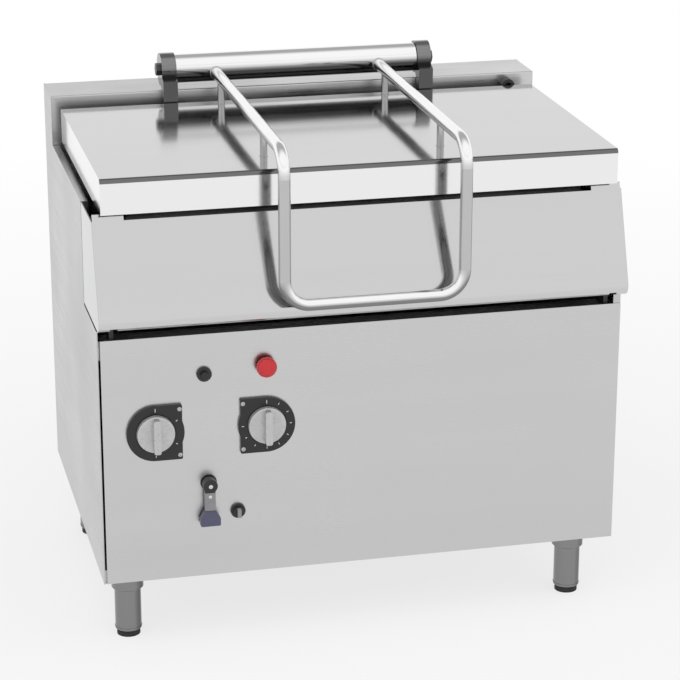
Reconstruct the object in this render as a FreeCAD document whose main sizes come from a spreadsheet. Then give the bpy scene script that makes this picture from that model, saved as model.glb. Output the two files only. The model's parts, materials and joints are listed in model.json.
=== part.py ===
import FreeCAD, Part
import math
import os
import re
import Sketcher
from FreeCAD import Placement, Rotation, Vector

# Tilting bratt pan, electric, motor tilted, 1000 x 700 mm unit.
# Sketch frame: X across with 0 in the middle, Y to the back from the front panel's face,
# Z up from the floor. Every piece is then shifted along Y, so that the origin of the part
# is the middle of its footprint.

doc = FreeCAD.newDocument("tilting_bratt_pan")
sheet = doc.addObject("Spreadsheet::Sheet", "dims")

SIZES = [
    # Cabinet
    ("unit_width", 1000, "over the side panels"),
    ("unit_depth", 700, "front panel face to rear edge of the sides"),
    ("leg_height", 150, "floor to the underside of the cabinet"),
    ("sheet_wall", 2, "cabinet and apron sheet"),
    ("front_panel_height", 481, "flat front panel"),
    ("panel_joint", 6, "open joint at the left edge of the front panel"),
    ("side_step_rise", 19, "front shoulder of the side above the front panel"),
    ("side_shoulder_depth", 163, "front shoulder of the side, front to back"),
    ("side_top_drop", 55, "top edge of the side below the pan rim"),
    ("side_flange", 14, "folded edge of the side panels"),
    ("upstand_depth", 118, "rear upstand, front to back"),
    ("upstand_rise", 45, "rear upstand above the pan rim"),
    ("upstand_skirt", 230, "front sheet of the upstand, top to bottom"),
    ("upstand_back", 88, "rear sheet of the upstand, top to bottom"),
    ("upstand_bend", 3, "outer bend of the upstand"),
    ("tray_edge", 25, "turned up edge of the base tray"),
    ("rear_recess", 16, "rear panel in front of the rear edge"),
    ("rear_panel_height", 716, "rear panel from the base tray up"),
    ("vent_width", 120, "vent slot in the rear panel"),
    ("vent_height", 6, "vent slot in the rear panel"),
    ("vent_pitch", 20, "distance between vent slots"),
    ("vent_count", 8, "vent slots one above another"),
    ("vent_base", 150, "lowest vent slot above the base tray"),
    ("rail_depth", 38, "cross rail tube, front to back"),
    ("rail_height", 40, "cross rail tube"),
    ("rail_wall", 2.5, "cross rail tube"),
    ("front_rail_inset", 8, "front cross rail behind the panel face"),
    ("lug_rail_gap", 60, "rear cross rail behind the actuator lug's pin"),
    ("rear_rail_drop", 18, "rear cross rail below the pan's side arms"),
    ("panel_flange_inset", 60, "front panel flange inside the sides"),
    ("panel_flange", 25, "folded edges of the front panel"),
    # Legs
    ("leg_inset_x", 57, "leg axis inside the side"),
    ("leg_inset_y", 98, "leg axis inside the front and rear edges"),
    ("leg_sleeve_radius", 31, "leg sleeve"),
    ("leg_sleeve_height", 50, "leg sleeve below the cabinet"),
    ("foot_radius", 25.5, "adjustable foot"),
    ("foot_pad_height", 10, "plastic sole of the foot"),
    ("foot_stem_radius", 9.9, "threaded stem in the sleeve"),
    ("stem_clearance", 0.1, "stem in the sleeve bore"),
    ("foot_stem_length", 40, "threaded stem above the foot"),
    ("foot_edge", 3, "rounded edge of sleeve and foot"),
    # Tilting pan
    ("pivot_forward", 18, "tilt axis in front of the panel face"),
    ("pivot_rise", 45, "tilt axis above the front panel"),
    ("rim_rise", 229, "pan rim above the tilt axis"),
    ("hem_radius", 20, "rolled hem of the apron, round the tilt axis"),
    ("apron_lean", 19.5, "apron off the vertical, degrees"),
    ("apron_end", 59, "raised end of the apron inside the cabinet's side"),
    ("apron_shoulder", 12, "full width of the apron above the side's top edge"),
    ("cheek_gap", 4, "apron cheek to the side panel"),
    ("ear_notch_gap", 3, "apron notch beside the bracket ear"),
    ("hem_lip", 20, "flat lip behind the hem"),
    ("well_wall", 3, "sheet of the well"),
    ("well_inset", 70, "inside of the well inside the cabinet's side"),
    ("well_back_gap", 62, "inner face of the well's rear wall to the upstand"),
    ("well_floor_depth", 193, "rim to the cooking surface"),
    ("well_front_low", 115, "front wall at the cooking surface"),
    ("well_front_high", 45, "front wall just under the rim"),
    ("base_plate", 12, "thick steel cooking surface"),
    ("rim_margin_x", 24, "rim edge inside the cabinet's side"),
    ("rim_front", 16, "rim edge behind the panel face"),
    ("rim_back_gap", 46, "rear rim edge to the upstand"),
    ("rim_turndown", 20, "folded rim edge"),
    ("lip_width", 180, "pouring lip"),
    ("lip_drop", 14, "fall of the pouring lip"),
    ("arm_wall", 8, "pivot arm plate"),
    ("arm_inset", 48, "inner face of the arm inside the cabinet's side"),
    ("arm_overhang", 6, "pivot arm end behind the rear cross rail"),
    ("arm_rear_height", 60, "pivot arm at its rear end"),
    ("arm_boss_radius", 12, "spacer between arm and well"),
    ("pin_radius", 8, "pivot and actuator pins"),
    ("pin_clearance", 0.05, "running clearance of pins, rod and shaft, on the radius"),
    ("bush_wall", 3, "pivot bush"),
    ("ear_inset", 32, "inner face of the bracket ear inside the cabinet's side"),
    ("ear_wall", 8, "bracket ear"),
    ("ear_clearance", 1, "bracket ear inside the hem"),
    ("rest_pad_radius", 14, "rubber pan rest"),
    ("seat_gap", 0.3, "gap at rest between parts that only touch"),
    # Heating
    ("element_radius", 4.25, "tubular heating element"),
    ("element_half", 32, "half width of a hairpin element"),
    ("element_bend", 31, "bend of a heating element"),
    ("element_front", 190, "front end of the element runs"),
    ("element_back_gap", 20, "rear end of the elements to the well's rear wall"),
    ("element_margin", 34, "elements inside the well"),
    ("element_count", 6, "hairpin elements"),
    ("clamp_wall", 3, "element clamp bar"),
    ("clamp_width", 20, "element clamp bar"),
    ("clamp_stud_radius", 3, "stud of the element clamps"),
    ("cover_wall", 3, "heater cover"),
    ("cover_depth", 38, "heater cover below the base plate"),
    ("cover_inset", 5, "heater cover inside the well"),
    ("cover_front", 135, "heater cover"),
    ("cover_back_gap", 5, "heater cover to the well's rear wall"),
    # Tilt actuator
    ("link_length", 400, "tilt axis to each actuator pin"),
    ("lug_angle", -5.2, "direction of the pan's actuator pin, degrees"),
    ("base_angle", -75.2, "direction of the base actuator pin, degrees"),
    ("lug_eye_radius", 18, "actuator lug and eyes"),
    ("lug_gap", 16, "lug plate inside face from the middle"),
    ("lug_wall", 6, "lug plates"),
    ("actuator_tube_radius", 24, "actuator outer tube"),
    ("actuator_rod_radius", 12, "actuator rod"),
    ("actuator_top_gap", 55, "end of the outer tube to the lug pin, closed"),
    ("gearbox_start", 22, "gearbox above the base pin"),
    ("gearbox_height", 46, "actuator gearbox"),
    ("gearbox_half", 30, "actuator gearbox half width"),
    ("motor_radius", 26, "actuator motor"),
    ("motor_length", 150, "actuator motor"),
    ("motor_offset", 58, "actuator motor beside the tube"),
    ("actuator_eye_half", 13, "actuator eyes, half width"),
    # Lid and hinge
    ("lid_rise", 27, "lid top above the rim"),
    ("lid_inset", 15, "lid inside the cabinet's side"),
    ("lid_front", 4, "lid front behind the panel face"),
    ("lid_hinge_gap", 34, "lid rear edge to the upstand"),
    ("lid_wall", 2, "lid sheet"),
    ("lid_skirt", 66, "front and side skirt of the lid"),
    ("lid_rear_skirt", 22, "rear skirt of the lid"),
    ("lid_bend", 7, "front bend of the lid"),
    ("liner_inset", 30, "lid liner inside the lid"),
    ("liner_wall", 1.5, "lid liner"),
    ("hinge_back", 18, "hinge axis behind the upstand's front"),
    ("hinge_rise", 58, "hinge axis above the lid"),
    ("hinge_tube_radius", 29, "spring tube of the hinge"),
    ("hinge_tube_wall", 3, "spring tube of the hinge"),
    ("hinge_tube_half", 248, "half length of the spring tube"),
    ("hinge_side_gap", 1, "spring tube to bracket"),
    ("hinge_bracket_wall", 29, "hinge bracket, along the axis"),
    ("hinge_collar_radius", 32.5, "collar of the hinge bracket"),
    ("hinge_shaft_radius", 10, "fixed hinge shaft"),
    ("hinge_nut_radius", 13, "nut on the hinge shaft"),
    ("hinge_nut_length", 8, "nut on the hinge shaft"),
    ("bracket_foot_depth", 24, "hinge bracket foot"),
    ("foot_gap", 4, "hinge bracket foot to lid edge and upstand"),
    ("ledge_drop", 35, "hinge ledge below the rim"),
    ("ledge_height", 40, "hinge ledge"),
    ("ledge_overhang", 42, "hinge ledge beyond the hinge brackets"),
    ("spring_wall", 5, "torsion spring winding"),
    ("spring_length", 210, "torsion spring"),
    # Handle
    ("handle_radius", 11.5, "handle tube"),
    ("handle_wall", 2, "handle tube"),
    ("handle_half", 168, "handle arm axis from the middle"),
    ("handle_rise", 52, "handle axis above the lid"),
    ("handle_reach", 80, "front bar axis in front of the panel face"),
    ("handle_drop", 284, "front bars, axis to axis"),
    ("handle_bend", 47, "handle bend"),
    ("post_radius", 7, "handle stand-off"),
    ("post_front", 100, "front stand-offs behind the panel face"),
    ("post_back_gap", 62, "rear stand-offs to the upstand"),
    # Controls
    ("knob_drop", 185, "knob axes below the front panel's top"),
    ("left_knob_inset", 103, "knob axis inside the cabinet's left side"),
    ("right_knob_inset", 312, "knob axis inside the cabinet's left side"),
    ("bezel_radius", 54, "round side of the knob bezel"),
    ("bezel_square", 50, "square side of the knob bezel"),
    ("bezel_wall", 6, "knob bezel"),
    ("bezel_corner", 3, "corner of the knob bezel"),
    ("knob_radius", 36, "knob"),
    ("knob_gap", 1, "knob off its bezel"),
    ("knob_skirt", 9, "knob rim"),
    ("knob_grip_depth", 17, "knob grip bar"),
    ("knob_grip_width", 13, "knob grip bar"),
    ("knob_grip_edge", 4, "rounded edge of the knob grip bar"),
    ("spindle_radius", 3, "knob spindle"),
    ("switch_half", 27, "rotary switch behind the panel"),
    ("switch_depth", 55, "rotary switch behind the panel"),
    ("stop_inset", 311, "red button inside the cabinet's left side"),
    ("stop_drop", 69, "red button below the front panel's top"),
    ("stop_radius", 19, "red button"),
    ("stop_rim", 8.5, "straight rim of the red button"),
    ("stop_crown", 5, "crown of the red button above its rim"),
    ("stop_crown_radius", 12, "inner part of the crown"),
    ("stop_crown_rise", 0.8, "inner part of the crown"),
    ("stop_round", 6, "rounded rim of the red button"),
    ("stop_travel", 5, "red button"),
    ("start_inset", 196, "black push button inside the cabinet's left side"),
    ("start_drop", 77, "black push button below the front panel's top"),
    ("start_radius", 7.5, "black push button"),
    ("start_travel", 3, "black push button"),
    ("tilt_inset", 256, "tilt switch inside the cabinet's left side"),
    ("tilt_drop", 354, "tilt switch below the front panel's top"),
    ("tilt_bar_width", 6.5, "bar of the tilt switch"),
    ("device_radius", 11, "panel hole of the round devices"),
    ("collar_radius", 14, "collar of the round devices"),
    ("collar_depth", 5, "collar of the round devices"),
    ("device_depth", 46, "contact block behind the panel"),
    ("stem_radius", 5, "stem of a round device"),
    # Water
    ("tap_inset", 201, "tap inside the cabinet's left side"),
    ("tap_drop", 292, "tap below the front panel's top"),
    ("tap_radius", 16, "tap valve body"),
    ("tap_depth", 60, "tap valve body behind the panel"),
    ("tap_hub_radius", 13.5, "tap lever hub"),
    ("tap_hub_depth", 22, "tap lever hub"),
    ("tap_stem_radius", 5, "tap spindle"),
    ("tap_lever_half", 10, "tap lever"),
    ("tap_lever_length", 52, "tap lever, axis to grip"),
    ("tap_blade_wall", 9, "tap lever blade"),
    ("tap_grip_half", 19, "tap grip"),
    ("tap_grip_length", 30, "tap grip"),
    ("tap_grip_wall", 13, "tap grip"),
    ("pipe_radius", 7, "water pipe"),
    ("pipe_wall", 1, "water pipe"),
    ("pipe_bend", 22, "water pipe bend"),
    ("pipe_front", 30, "pipes behind the panel face"),
    ("inlet_inset", 100, "water inlet inside the cabinet's left side"),
    ("inlet_height", 210, "water inlet above the floor"),
    ("inlet_radius", 10.5, "water inlet, half inch"),
    ("inlet_collar_radius", 15, "collar of the water inlet outside the rear panel"),
    ("spout_inset", 60, "water spout inside the cabinet's right side"),
    ("spout_drop", 22, "water spout below the upstand's top"),
    ("spout_radius", 14, "water spout"),
    ("spout_length", 26, "water spout in front of the upstand"),
    ("spout_pipe_height", 200, "low run of the spout pipe"),
    ("spout_riser_gap", 60, "rising run of the spout pipe inside the rear edge"),
    # Mains
    ("box_inset", 150, "terminal box inside the cabinet's right side"),
    ("box_half", 60, "terminal box"),
    ("box_depth", 90, "terminal box"),
    ("box_height", 140, "terminal box"),
    ("gland_inset", 150, "cable gland inside the cabinet's right side"),
    ("gland_height", 230, "cable gland above the floor"),
    ("gland_radius", 13, "cable gland"),
    ("gland_bore", 7, "cable gland bore"),
]

for row, (name, size, meaning) in enumerate(SIZES, start=1):
    sheet.set(f"A{row}", name)
    sheet.set(f"B{row}", str(size))
    sheet.setAlias(f"B{row}", name)
    sheet.set(f"C{row}", meaning)
doc.recompute()

ALIASES = re.compile(r"\b(" + "|".join(name for name, size, meaning in SIZES) + r")\b")

# Places that several pieces share, as formulas of the sheet's sizes
FRONT_REACH = "(handle_reach + handle_radius)"
CENTRE_Y = f"((unit_depth - {FRONT_REACH}) / 2)"
HALF = "(unit_width / 2)"
INNER = "(unit_width / 2 - sheet_wall)"
FLOOR_Z = "leg_height"
TRAY_Z = "(leg_height + sheet_wall)"
PANEL_TOP = "(leg_height + front_panel_height)"
PIVOT_Y = "(0 - pivot_forward)"
PIVOT_Z = f"({PANEL_TOP} + pivot_rise)"
RIM_Z = f"({PIVOT_Z} + rim_rise)"
LID_Z = f"({RIM_Z} + lid_rise)"
HINGE_Z = f"({LID_Z} + hinge_rise)"
HANDLE_Z = f"({LID_Z} + handle_rise)"
UPSTAND_Y = "(unit_depth - upstand_depth)"
UPSTAND_Z = f"({RIM_Z} + upstand_rise)"
SIDE_TOP = f"({RIM_Z} - side_top_drop)"
SHOULDER_Z = f"({PANEL_TOP} + side_step_rise)"
HINGE_Y = f"({UPSTAND_Y} + hinge_back)"
LID_BACK = f"({UPSTAND_Y} - lid_hinge_gap)"
WELL_HALF = "(unit_width / 2 - well_inset)"
WELL_BACK = f"({UPSTAND_Y} - well_back_gap)"
RIM_BACK = f"({UPSTAND_Y} - rim_back_gap)"
FLOOR_OF_WELL = f"({RIM_Z} - well_floor_depth)"
PLATE_Z = f"({FLOOR_OF_WELL} - base_plate)"
FRONT_SLOPE = "((well_front_low - well_front_high) / (well_floor_depth - rim_turndown / 2))"
ARM_Z = f"({PIVOT_Z} - hem_radius + sheet_wall)"
ARM_IN = "(unit_width / 2 - arm_inset)"
EAR_IN = "(unit_width / 2 - ear_inset)"
RAIL_TOP = f"({ARM_Z} - rear_rail_drop)"
LUG_Y = f"({PIVOT_Y} + link_length * cos(lug_angle))"
LUG_Z = f"({PIVOT_Z} + link_length * sin(lug_angle))"
BASE_Y = f"({PIVOT_Y} + link_length * cos(base_angle))"
BASE_Z = f"({PIVOT_Z} + link_length * sin(base_angle))"
REAR_RAIL_Y = f"({LUG_Y} + lug_rail_gap)"
ARM_END = f"({REAR_RAIL_Y} + rail_depth + arm_overhang)"
CLOSED = "(2 * link_length * sin((lug_angle - base_angle) / 2))"
REAR_PANEL_Y = "(unit_depth - rear_recess)"
SPOUT_Z = f"({UPSTAND_Z} - spout_drop)"
ELEMENT_BACK = f"({WELL_BACK} - element_back_gap)"
POST_BACK = f"({UPSTAND_Y} - post_back_gap)"
BRACKET_END = "(hinge_tube_half + hinge_side_gap + hinge_bracket_wall)"
ELEMENT_PITCH = f"(({WELL_HALF} - element_margin) * 2 / element_count)"
KNOB_Z = f"({PANEL_TOP} - knob_drop)"
LEFT_KNOB_X = "(left_knob_inset - unit_width / 2)"
RIGHT_KNOB_X = "(right_knob_inset - unit_width / 2)"
STOP_X = "(stop_inset - unit_width / 2)"
STOP_Z = f"({PANEL_TOP} - stop_drop)"
START_X = "(start_inset - unit_width / 2)"
START_Z = f"({PANEL_TOP} - start_drop)"
TILT_X = "(tilt_inset - unit_width / 2)"
TILT_Z = f"({PANEL_TOP} - tilt_drop)"
TAP_X = "(tap_inset - unit_width / 2)"
TAP_Z = f"({PANEL_TOP} - tap_drop)"
INLET_X = "(inlet_inset - unit_width / 2)"
SPOUT_X = "(unit_width / 2 - spout_inset)"
BOX_X = "(unit_width / 2 - box_inset)"
GLAND_X = "(unit_width / 2 - gland_inset)"

parts = []


def ex(text):
    """Expression text with every size name tied to the sheet."""
    return ALIASES.sub(r"dims.\1", str(text))


def value(text):
    """Present number of a formula of sizes."""
    number = sheet.evalExpression(ex(text))
    return float(getattr(number, "Value", number))


def is_plain(text):
    return ALIASES.search(str(text)) is None


def place(obj, x="0", y="0", z="0"):
    """Put a sub-part at a point given in the sketch frame."""
    obj.setExpression("Placement.Base.x", ex(x))
    obj.setExpression("Placement.Base.y", ex(f"{y} - {CENTRE_Y}"))
    obj.setExpression("Placement.Base.z", ex(z))


def new_body(label, x="0", y="0", z="0"):
    body = doc.addObject("PartDesign::Body", label)
    body.Label = label
    place(body, x, y, z)
    parts.append(body)
    return body


def sketch_on(body, plane, offset):
    sketch = body.newObject("Sketcher::SketchObject", f"{body.Name}_sketch")
    plane_object = next(item for item in body.Origin.OriginFeatures if item.Role == plane + "_Plane")
    sketch.AttachmentSupport = [(plane_object, "")]
    sketch.MapMode = "FlatFace"
    sketch.setExpression("AttachmentOffset.Base.z", ex(offset))
    return sketch


def bind(sketch, constraints):
    """Add (constraint, formula) pairs and tie each value that depends on a size."""
    first = sketch.ConstraintCount
    sketch.addConstraint([constraint for constraint, formula in constraints])
    for index, (constraint, formula) in enumerate(constraints, start=first):
        if formula is not None and not is_plain(formula):
            sketch.setExpression(f"Constraints[{index}]", ex(formula))


def pin_point(geometry, position, x, y):
    """Distances of a sketch point from the sketch origin."""
    return [
        (Sketcher.Constraint("DistanceX", -1, 1, geometry, position, value(x)), x),
        (Sketcher.Constraint("DistanceY", -1, 1, geometry, position, value(y)), y),
    ]


def corner_arc(before, corner, after, radius):
    """Tangent points, centre and turn of a rounded corner."""
    to_before = (before - corner).normalize()
    to_after = (after - corner).normalize()
    half = to_before.getAngle(to_after) / 2
    start = corner + to_before * (radius / math.tan(half))
    end = corner + to_after * (radius / math.tan(half))
    bisector = (to_before + to_after).normalize()
    centre = corner + bisector * (radius / math.sin(half))
    turns_left = (corner - before).cross(after - corner).z > 0
    return start, end, centre, turns_left


def draw_outline(sketch, corners):
    """Closed outline through corners (x, y) or (x, y, radius), all formulas of sizes."""
    count = len(corners)
    points = [Vector(value(corner[0]), value(corner[1]), 0) for corner in corners]
    starts = list(points)
    ends = list(points)
    arcs = {}
    for i, corner in enumerate(corners):
        if len(corner) == 3:
            arcs[i] = corner_arc(points[i - 1], points[i], points[(i + 1) % count], value(corner[2]))
            starts[i], ends[i] = arcs[i][0], arcs[i][1]
    lines = [
        sketch.addGeometry(Part.LineSegment(ends[i], starts[(i + 1) % count]), False)
        for i in range(count)
    ]
    rules = []
    for i, corner in enumerate(corners):
        line_in, line_out = lines[i - 1], lines[i]
        if i not in arcs:
            rules.append((Sketcher.Constraint("Coincident", line_in, 2, line_out, 1), None))
            rules += pin_point(line_out, 1, corner[0], corner[1])
            continue
        start, end, centre, turns_left = arcs[i]
        radius = value(corner[2])
        first, last = (start, end) if turns_left else (end, start)
        angle_first = math.atan2(first.y - centre.y, first.x - centre.x)
        angle_last = math.atan2(last.y - centre.y, last.x - centre.x)
        circle = Part.Circle(centre, Vector(0, 0, 1), radius)
        arc = sketch.addGeometry(Part.ArcOfCircle(circle, angle_first, angle_last), False)
        apex = sketch.addGeometry(Part.Point(points[i]), True)
        arc_start, arc_end = (1, 2) if turns_left else (2, 1)
        rules += pin_point(apex, 1, corner[0], corner[1])
        rules.append((Sketcher.Constraint("PointOnObject", apex, 1, line_in), None))
        rules.append((Sketcher.Constraint("PointOnObject", apex, 1, line_out), None))
        rules.append((Sketcher.Constraint("Tangent", line_in, 2, arc, arc_start), None))
        rules.append((Sketcher.Constraint("Tangent", arc, arc_end, line_out, 1), None))
        rules.append((Sketcher.Constraint("Radius", arc, radius), corner[2]))
    bind(sketch, rules)


def draw_circle(sketch, x, y, radius):
    circle = Part.Circle(Vector(value(x), value(y), 0), Vector(0, 0, 1), value(radius))
    index = sketch.addGeometry(circle, False)
    rules = pin_point(index, 3, x, y)
    rules.append((Sketcher.Constraint("Radius", index, value(radius)), radius))
    bind(sketch, rules)


def box_outline(x_low, x_high, y_low, y_high, radius=None):
    corners = [(x_low, y_low), (x_high, y_low), (x_high, y_high), (x_low, y_high)]
    if radius is not None:
        corners = [corner + (radius,) for corner in corners]
    return corners


def extrude(kind, body, plane, low, high, outlines, circles):
    # The XZ plane's normal points to the front, so its depth runs from high to low
    offset = f"0 - ({high})" if plane == "XZ" else low
    sketch = sketch_on(body, plane, offset)
    for corners in outlines:
        draw_outline(sketch, corners)
    for x, y, radius in circles:
        draw_circle(sketch, x, y, radius)
    feature = body.newObject(f"PartDesign::{kind}", f"{body.Name}_{kind.lower()}")
    feature.Profile = sketch
    feature.Reversed = kind == "Pocket"
    feature.setExpression("Length", ex(f"({high}) - ({low})"))
    body.Tip = feature
    return feature


def pad(body, plane, low, high, outlines=(), circles=()):
    return extrude("Pad", body, plane, low, high, outlines, circles)


def pocket(body, plane, low, high, outlines=(), circles=()):
    return extrude("Pocket", body, plane, low, high, outlines, circles)


def turn(body, plane, corners, kind="Revolution"):
    """Turned shape: corners are (radius, distance along the plane's vertical axis)."""
    sketch = sketch_on(body, plane, "0")
    draw_outline(sketch, corners)
    feature = body.newObject(f"PartDesign::{kind}", f"{body.Name}_{kind.lower()}")
    feature.Profile = sketch
    feature.ReferenceAxis = (sketch, ["V_Axis"])
    feature.Angle = 360
    body.Tip = feature
    return feature


def sides(side, low, high):
    """Range of X on the right (side 1) or mirrored on the left (side -1)."""
    if side > 0:
        return low, high
    return f"0 - ({high})", f"0 - ({low})"


def tube_path(points, bend):
    """Straight runs joined by tangent arcs of one radius."""
    edges = []
    here = points[0]
    for i in range(1, len(points) - 1):
        start, end, centre = corner_arc(points[i - 1], points[i], points[i + 1], bend)[:3]
        middle = centre + (points[i] - centre).normalize() * bend
        edges.append(Part.LineSegment(here, start).toShape())
        edges.append(Part.Arc(start, middle, end).toShape())
        here = end
    edges.append(Part.LineSegment(here, points[-1]).toShape())
    return Part.Wire(edges)


def swept_tube(points, bend, radius, wall=0):
    """Round tube along the points, solid where wall is 0."""
    direction = (points[1] - points[0]).normalize()
    path = tube_path(points, bend)

    def rod(size):
        circle = Part.Wire([Part.Circle(points[0], direction, size).toShape()])
        return path.makePipe(Part.Face(circle))

    if wall == 0:
        return rod(radius)
    return rod(radius).cut(rod(radius - wall))


def add_shape(label, shape):
    """Sub-part whose shape is worked out from the sheet above."""
    feature = doc.addObject("Part::Feature", label)
    feature.Label = label
    feature.Shape = shape
    place(feature)
    parts.append(feature)
    return feature


# Cabinet
def front_panel():
    body = new_body("front_panel")
    flange = f"({HALF} - panel_flange_inset)"
    face = box_outline(f"panel_joint - {HALF}", HALF, FLOOR_Z, PANEL_TOP)
    holes = [
        (LEFT_KNOB_X, KNOB_Z, "spindle_radius + knob_gap"),
        (RIGHT_KNOB_X, KNOB_Z, "spindle_radius + knob_gap"),
        (STOP_X, STOP_Z, "device_radius"),
        (START_X, START_Z, "device_radius"),
        (TILT_X, TILT_Z, "device_radius"),
        (TAP_X, TAP_Z, "tap_stem_radius + knob_gap"),
    ]
    pad(body, "XZ", "0", "sheet_wall", [face], holes)
    for low, high in ((FLOOR_Z, TRAY_Z), (f"{PANEL_TOP} - sheet_wall", PANEL_TOP)):
        edge = box_outline(f"0 - {flange}", flange, "sheet_wall", "panel_flange")
        pad(body, "XY", low, high, [edge])


def side_panel(label, side, fold_front):
    body = new_body(label)
    outline = [
        ("sheet_wall", FLOOR_Z),
        ("unit_depth", FLOOR_Z),
        ("unit_depth", UPSTAND_Z),
        (UPSTAND_Y, UPSTAND_Z),
        (UPSTAND_Y, SIDE_TOP),
        ("side_shoulder_depth", SIDE_TOP),
        ("side_shoulder_depth", SHOULDER_Z),
        ("sheet_wall", SHOULDER_Z),
    ]
    pad(body, "YZ", *sides(side, f"{HALF} - side_flange", HALF), [outline])
    # The hood of the upstand is welded flat against the side, so no edge is folded there
    hood_low = f"({UPSTAND_Z} - upstand_back)"
    hollow = [
        (fold_front, TRAY_Z),
        ("unit_depth - sheet_wall", TRAY_Z),
        ("unit_depth - sheet_wall", hood_low),
        ("unit_depth + sheet_wall", hood_low),
        ("unit_depth + sheet_wall", f"{UPSTAND_Z} + sheet_wall"),
        (f"{UPSTAND_Y} - sheet_wall", f"{UPSTAND_Z} + sheet_wall"),
        (f"{UPSTAND_Y} - sheet_wall", f"{SIDE_TOP} - sheet_wall"),
        ("side_shoulder_depth + sheet_wall", f"{SIDE_TOP} - sheet_wall"),
        ("side_shoulder_depth + sheet_wall", f"{SHOULDER_Z} - sheet_wall"),
        (fold_front, f"{SHOULDER_Z} - sheet_wall"),
    ]
    pocket(body, "YZ", *sides(side, f"{HALF} - side_flange", INNER), [hollow])
    return body


def left_side_panel():
    """The left side has no fold at the front and shows its edge beside the open joint."""
    body = side_panel("left_side_panel", -1, "sheet_wall / 2")
    edge = box_outline("0", "2 * sheet_wall", FLOOR_Z, SHOULDER_Z)
    pad(body, "YZ", f"0 - {HALF}", f"0 - {INNER}", [edge])


def base_tray():
    body = new_body("base_tray")
    front, back = "2 * sheet_wall", f"{REAR_PANEL_Y} - sheet_wall"
    outer = box_outline(f"0 - {INNER}", INNER, front, back)
    pad(body, "XY", TRAY_Z, f"{TRAY_Z} + tray_edge", [outer])
    inner = box_outline(
        f"0 - {INNER} + sheet_wall",
        f"{INNER} - sheet_wall",
        f"{front} + sheet_wall",
        f"{back} - sheet_wall",
    )
    pocket(body, "XY", f"{TRAY_Z} + sheet_wall", f"{TRAY_Z} + tray_edge", [inner])


def rear_panel():
    body = new_body("rear_panel")
    face = box_outline(f"0 - {INNER}", INNER, TRAY_Z, f"{TRAY_Z} + rear_panel_height")
    holes = [
        (INLET_X, "inlet_height", "inlet_radius"),
        (GLAND_X, "gland_height", "gland_radius"),
    ]
    low, high = f"{REAR_PANEL_Y} - sheet_wall", REAR_PANEL_Y
    pad(body, "XZ", low, high, [face], holes)
    vent_low = f"({TRAY_Z} + vent_base)"
    slot = box_outline("0 - vent_width / 2", "vent_width / 2", vent_low, f"{vent_low} + vent_height")
    cut = pocket(body, "XZ", low, high, [slot])
    doc.recompute()
    pattern = body.newObject("PartDesign::LinearPattern", "vents")
    pattern.Originals = [cut]
    pattern.Direction = (cut.Profile[0], ["V_Axis"])
    pattern.setExpression("Length", ex("vent_pitch * (vent_count - 1)"))
    pattern.setExpression("Occurrences", ex("vent_count"))
    body.Tip = pattern


def upstand_cover():
    body = new_body("upstand_cover")
    top = UPSTAND_Z
    outline = [
        (UPSTAND_Y, f"{top} - upstand_skirt"),
        (UPSTAND_Y, top, "upstand_bend"),
        ("unit_depth", top, "upstand_bend"),
        ("unit_depth", f"{top} - upstand_back"),
        ("unit_depth - sheet_wall", f"{top} - upstand_back"),
        ("unit_depth - sheet_wall", f"{top} - sheet_wall"),
        (f"{UPSTAND_Y} + sheet_wall", f"{top} - sheet_wall"),
        (f"{UPSTAND_Y} + sheet_wall", f"{top} - upstand_skirt"),
    ]
    pad(body, "YZ", f"0 - {INNER}", INNER, [outline])
    hole = [(SPOUT_X, SPOUT_Z, "pipe_radius")]
    pocket(body, "XZ", UPSTAND_Y, f"{UPSTAND_Y} + sheet_wall", circles=hole)


def cross_rail(label, front, top):
    body = new_body(label)
    bottom = f"({top} - rail_height)"
    outer = box_outline(front, f"{front} + rail_depth", bottom, top, "2 * rail_wall")
    inner = box_outline(
        f"{front} + rail_wall",
        f"{front} + rail_depth - rail_wall",
        f"{bottom} + rail_wall",
        f"{top} - rail_wall",
        "rail_wall",
    )
    pad(body, "YZ", f"0 - {INNER}", INNER, [outer, inner])


def pan_rest_pads():
    body = new_body("pan_rest_pads")
    y = f"{REAR_RAIL_Y} + rail_depth / 2"
    x = f"{ARM_IN} + arm_wall / 2"
    circles = [(x, y, "rest_pad_radius"), (f"0 - ({x})", y, "rest_pad_radius")]
    pad(body, "XY", RAIL_TOP, f"{ARM_Z} - seat_gap", circles=circles)


def pivot_bracket(label, side):
    body = new_body(label)
    ear = "(hem_radius - sheet_wall - ear_clearance)"
    rail_top = f"({PANEL_TOP} - sheet_wall)"
    back = "front_rail_inset + rail_depth"
    outline = [
        ("front_rail_inset", rail_top),
        (back, rail_top),
        (back, f"{PIVOT_Z} + {ear}"),
        (PIVOT_Y, f"{PIVOT_Z} + {ear}"),
        (PIVOT_Y, f"{PIVOT_Z} - {ear}"),
        ("front_rail_inset", f"{PIVOT_Z} - {ear}"),
    ]
    low, high = sides(side, EAR_IN, f"{EAR_IN} + ear_wall")
    pad(body, "YZ", low, high, [outline])
    pad(body, "YZ", low, high, circles=[(PIVOT_Y, PIVOT_Z, ear)])
    bore = [(PIVOT_Y, PIVOT_Z, "pin_radius + pin_clearance + bush_wall")]
    pocket(body, "YZ", *sides(side, EAR_IN, f"{EAR_IN} + ear_wall"), circles=bore)


def pivot_bushes():
    body = new_body("pivot_bushes")
    for side in (-1, 1):
        low, high = sides(side, EAR_IN, f"{EAR_IN} + ear_wall")
        rings = [
            (PIVOT_Y, PIVOT_Z, "pin_radius + pin_clearance + bush_wall"),
            (PIVOT_Y, PIVOT_Z, "pin_radius + pin_clearance"),
        ]
        pad(body, "YZ", low, high, circles=rings)


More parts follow.
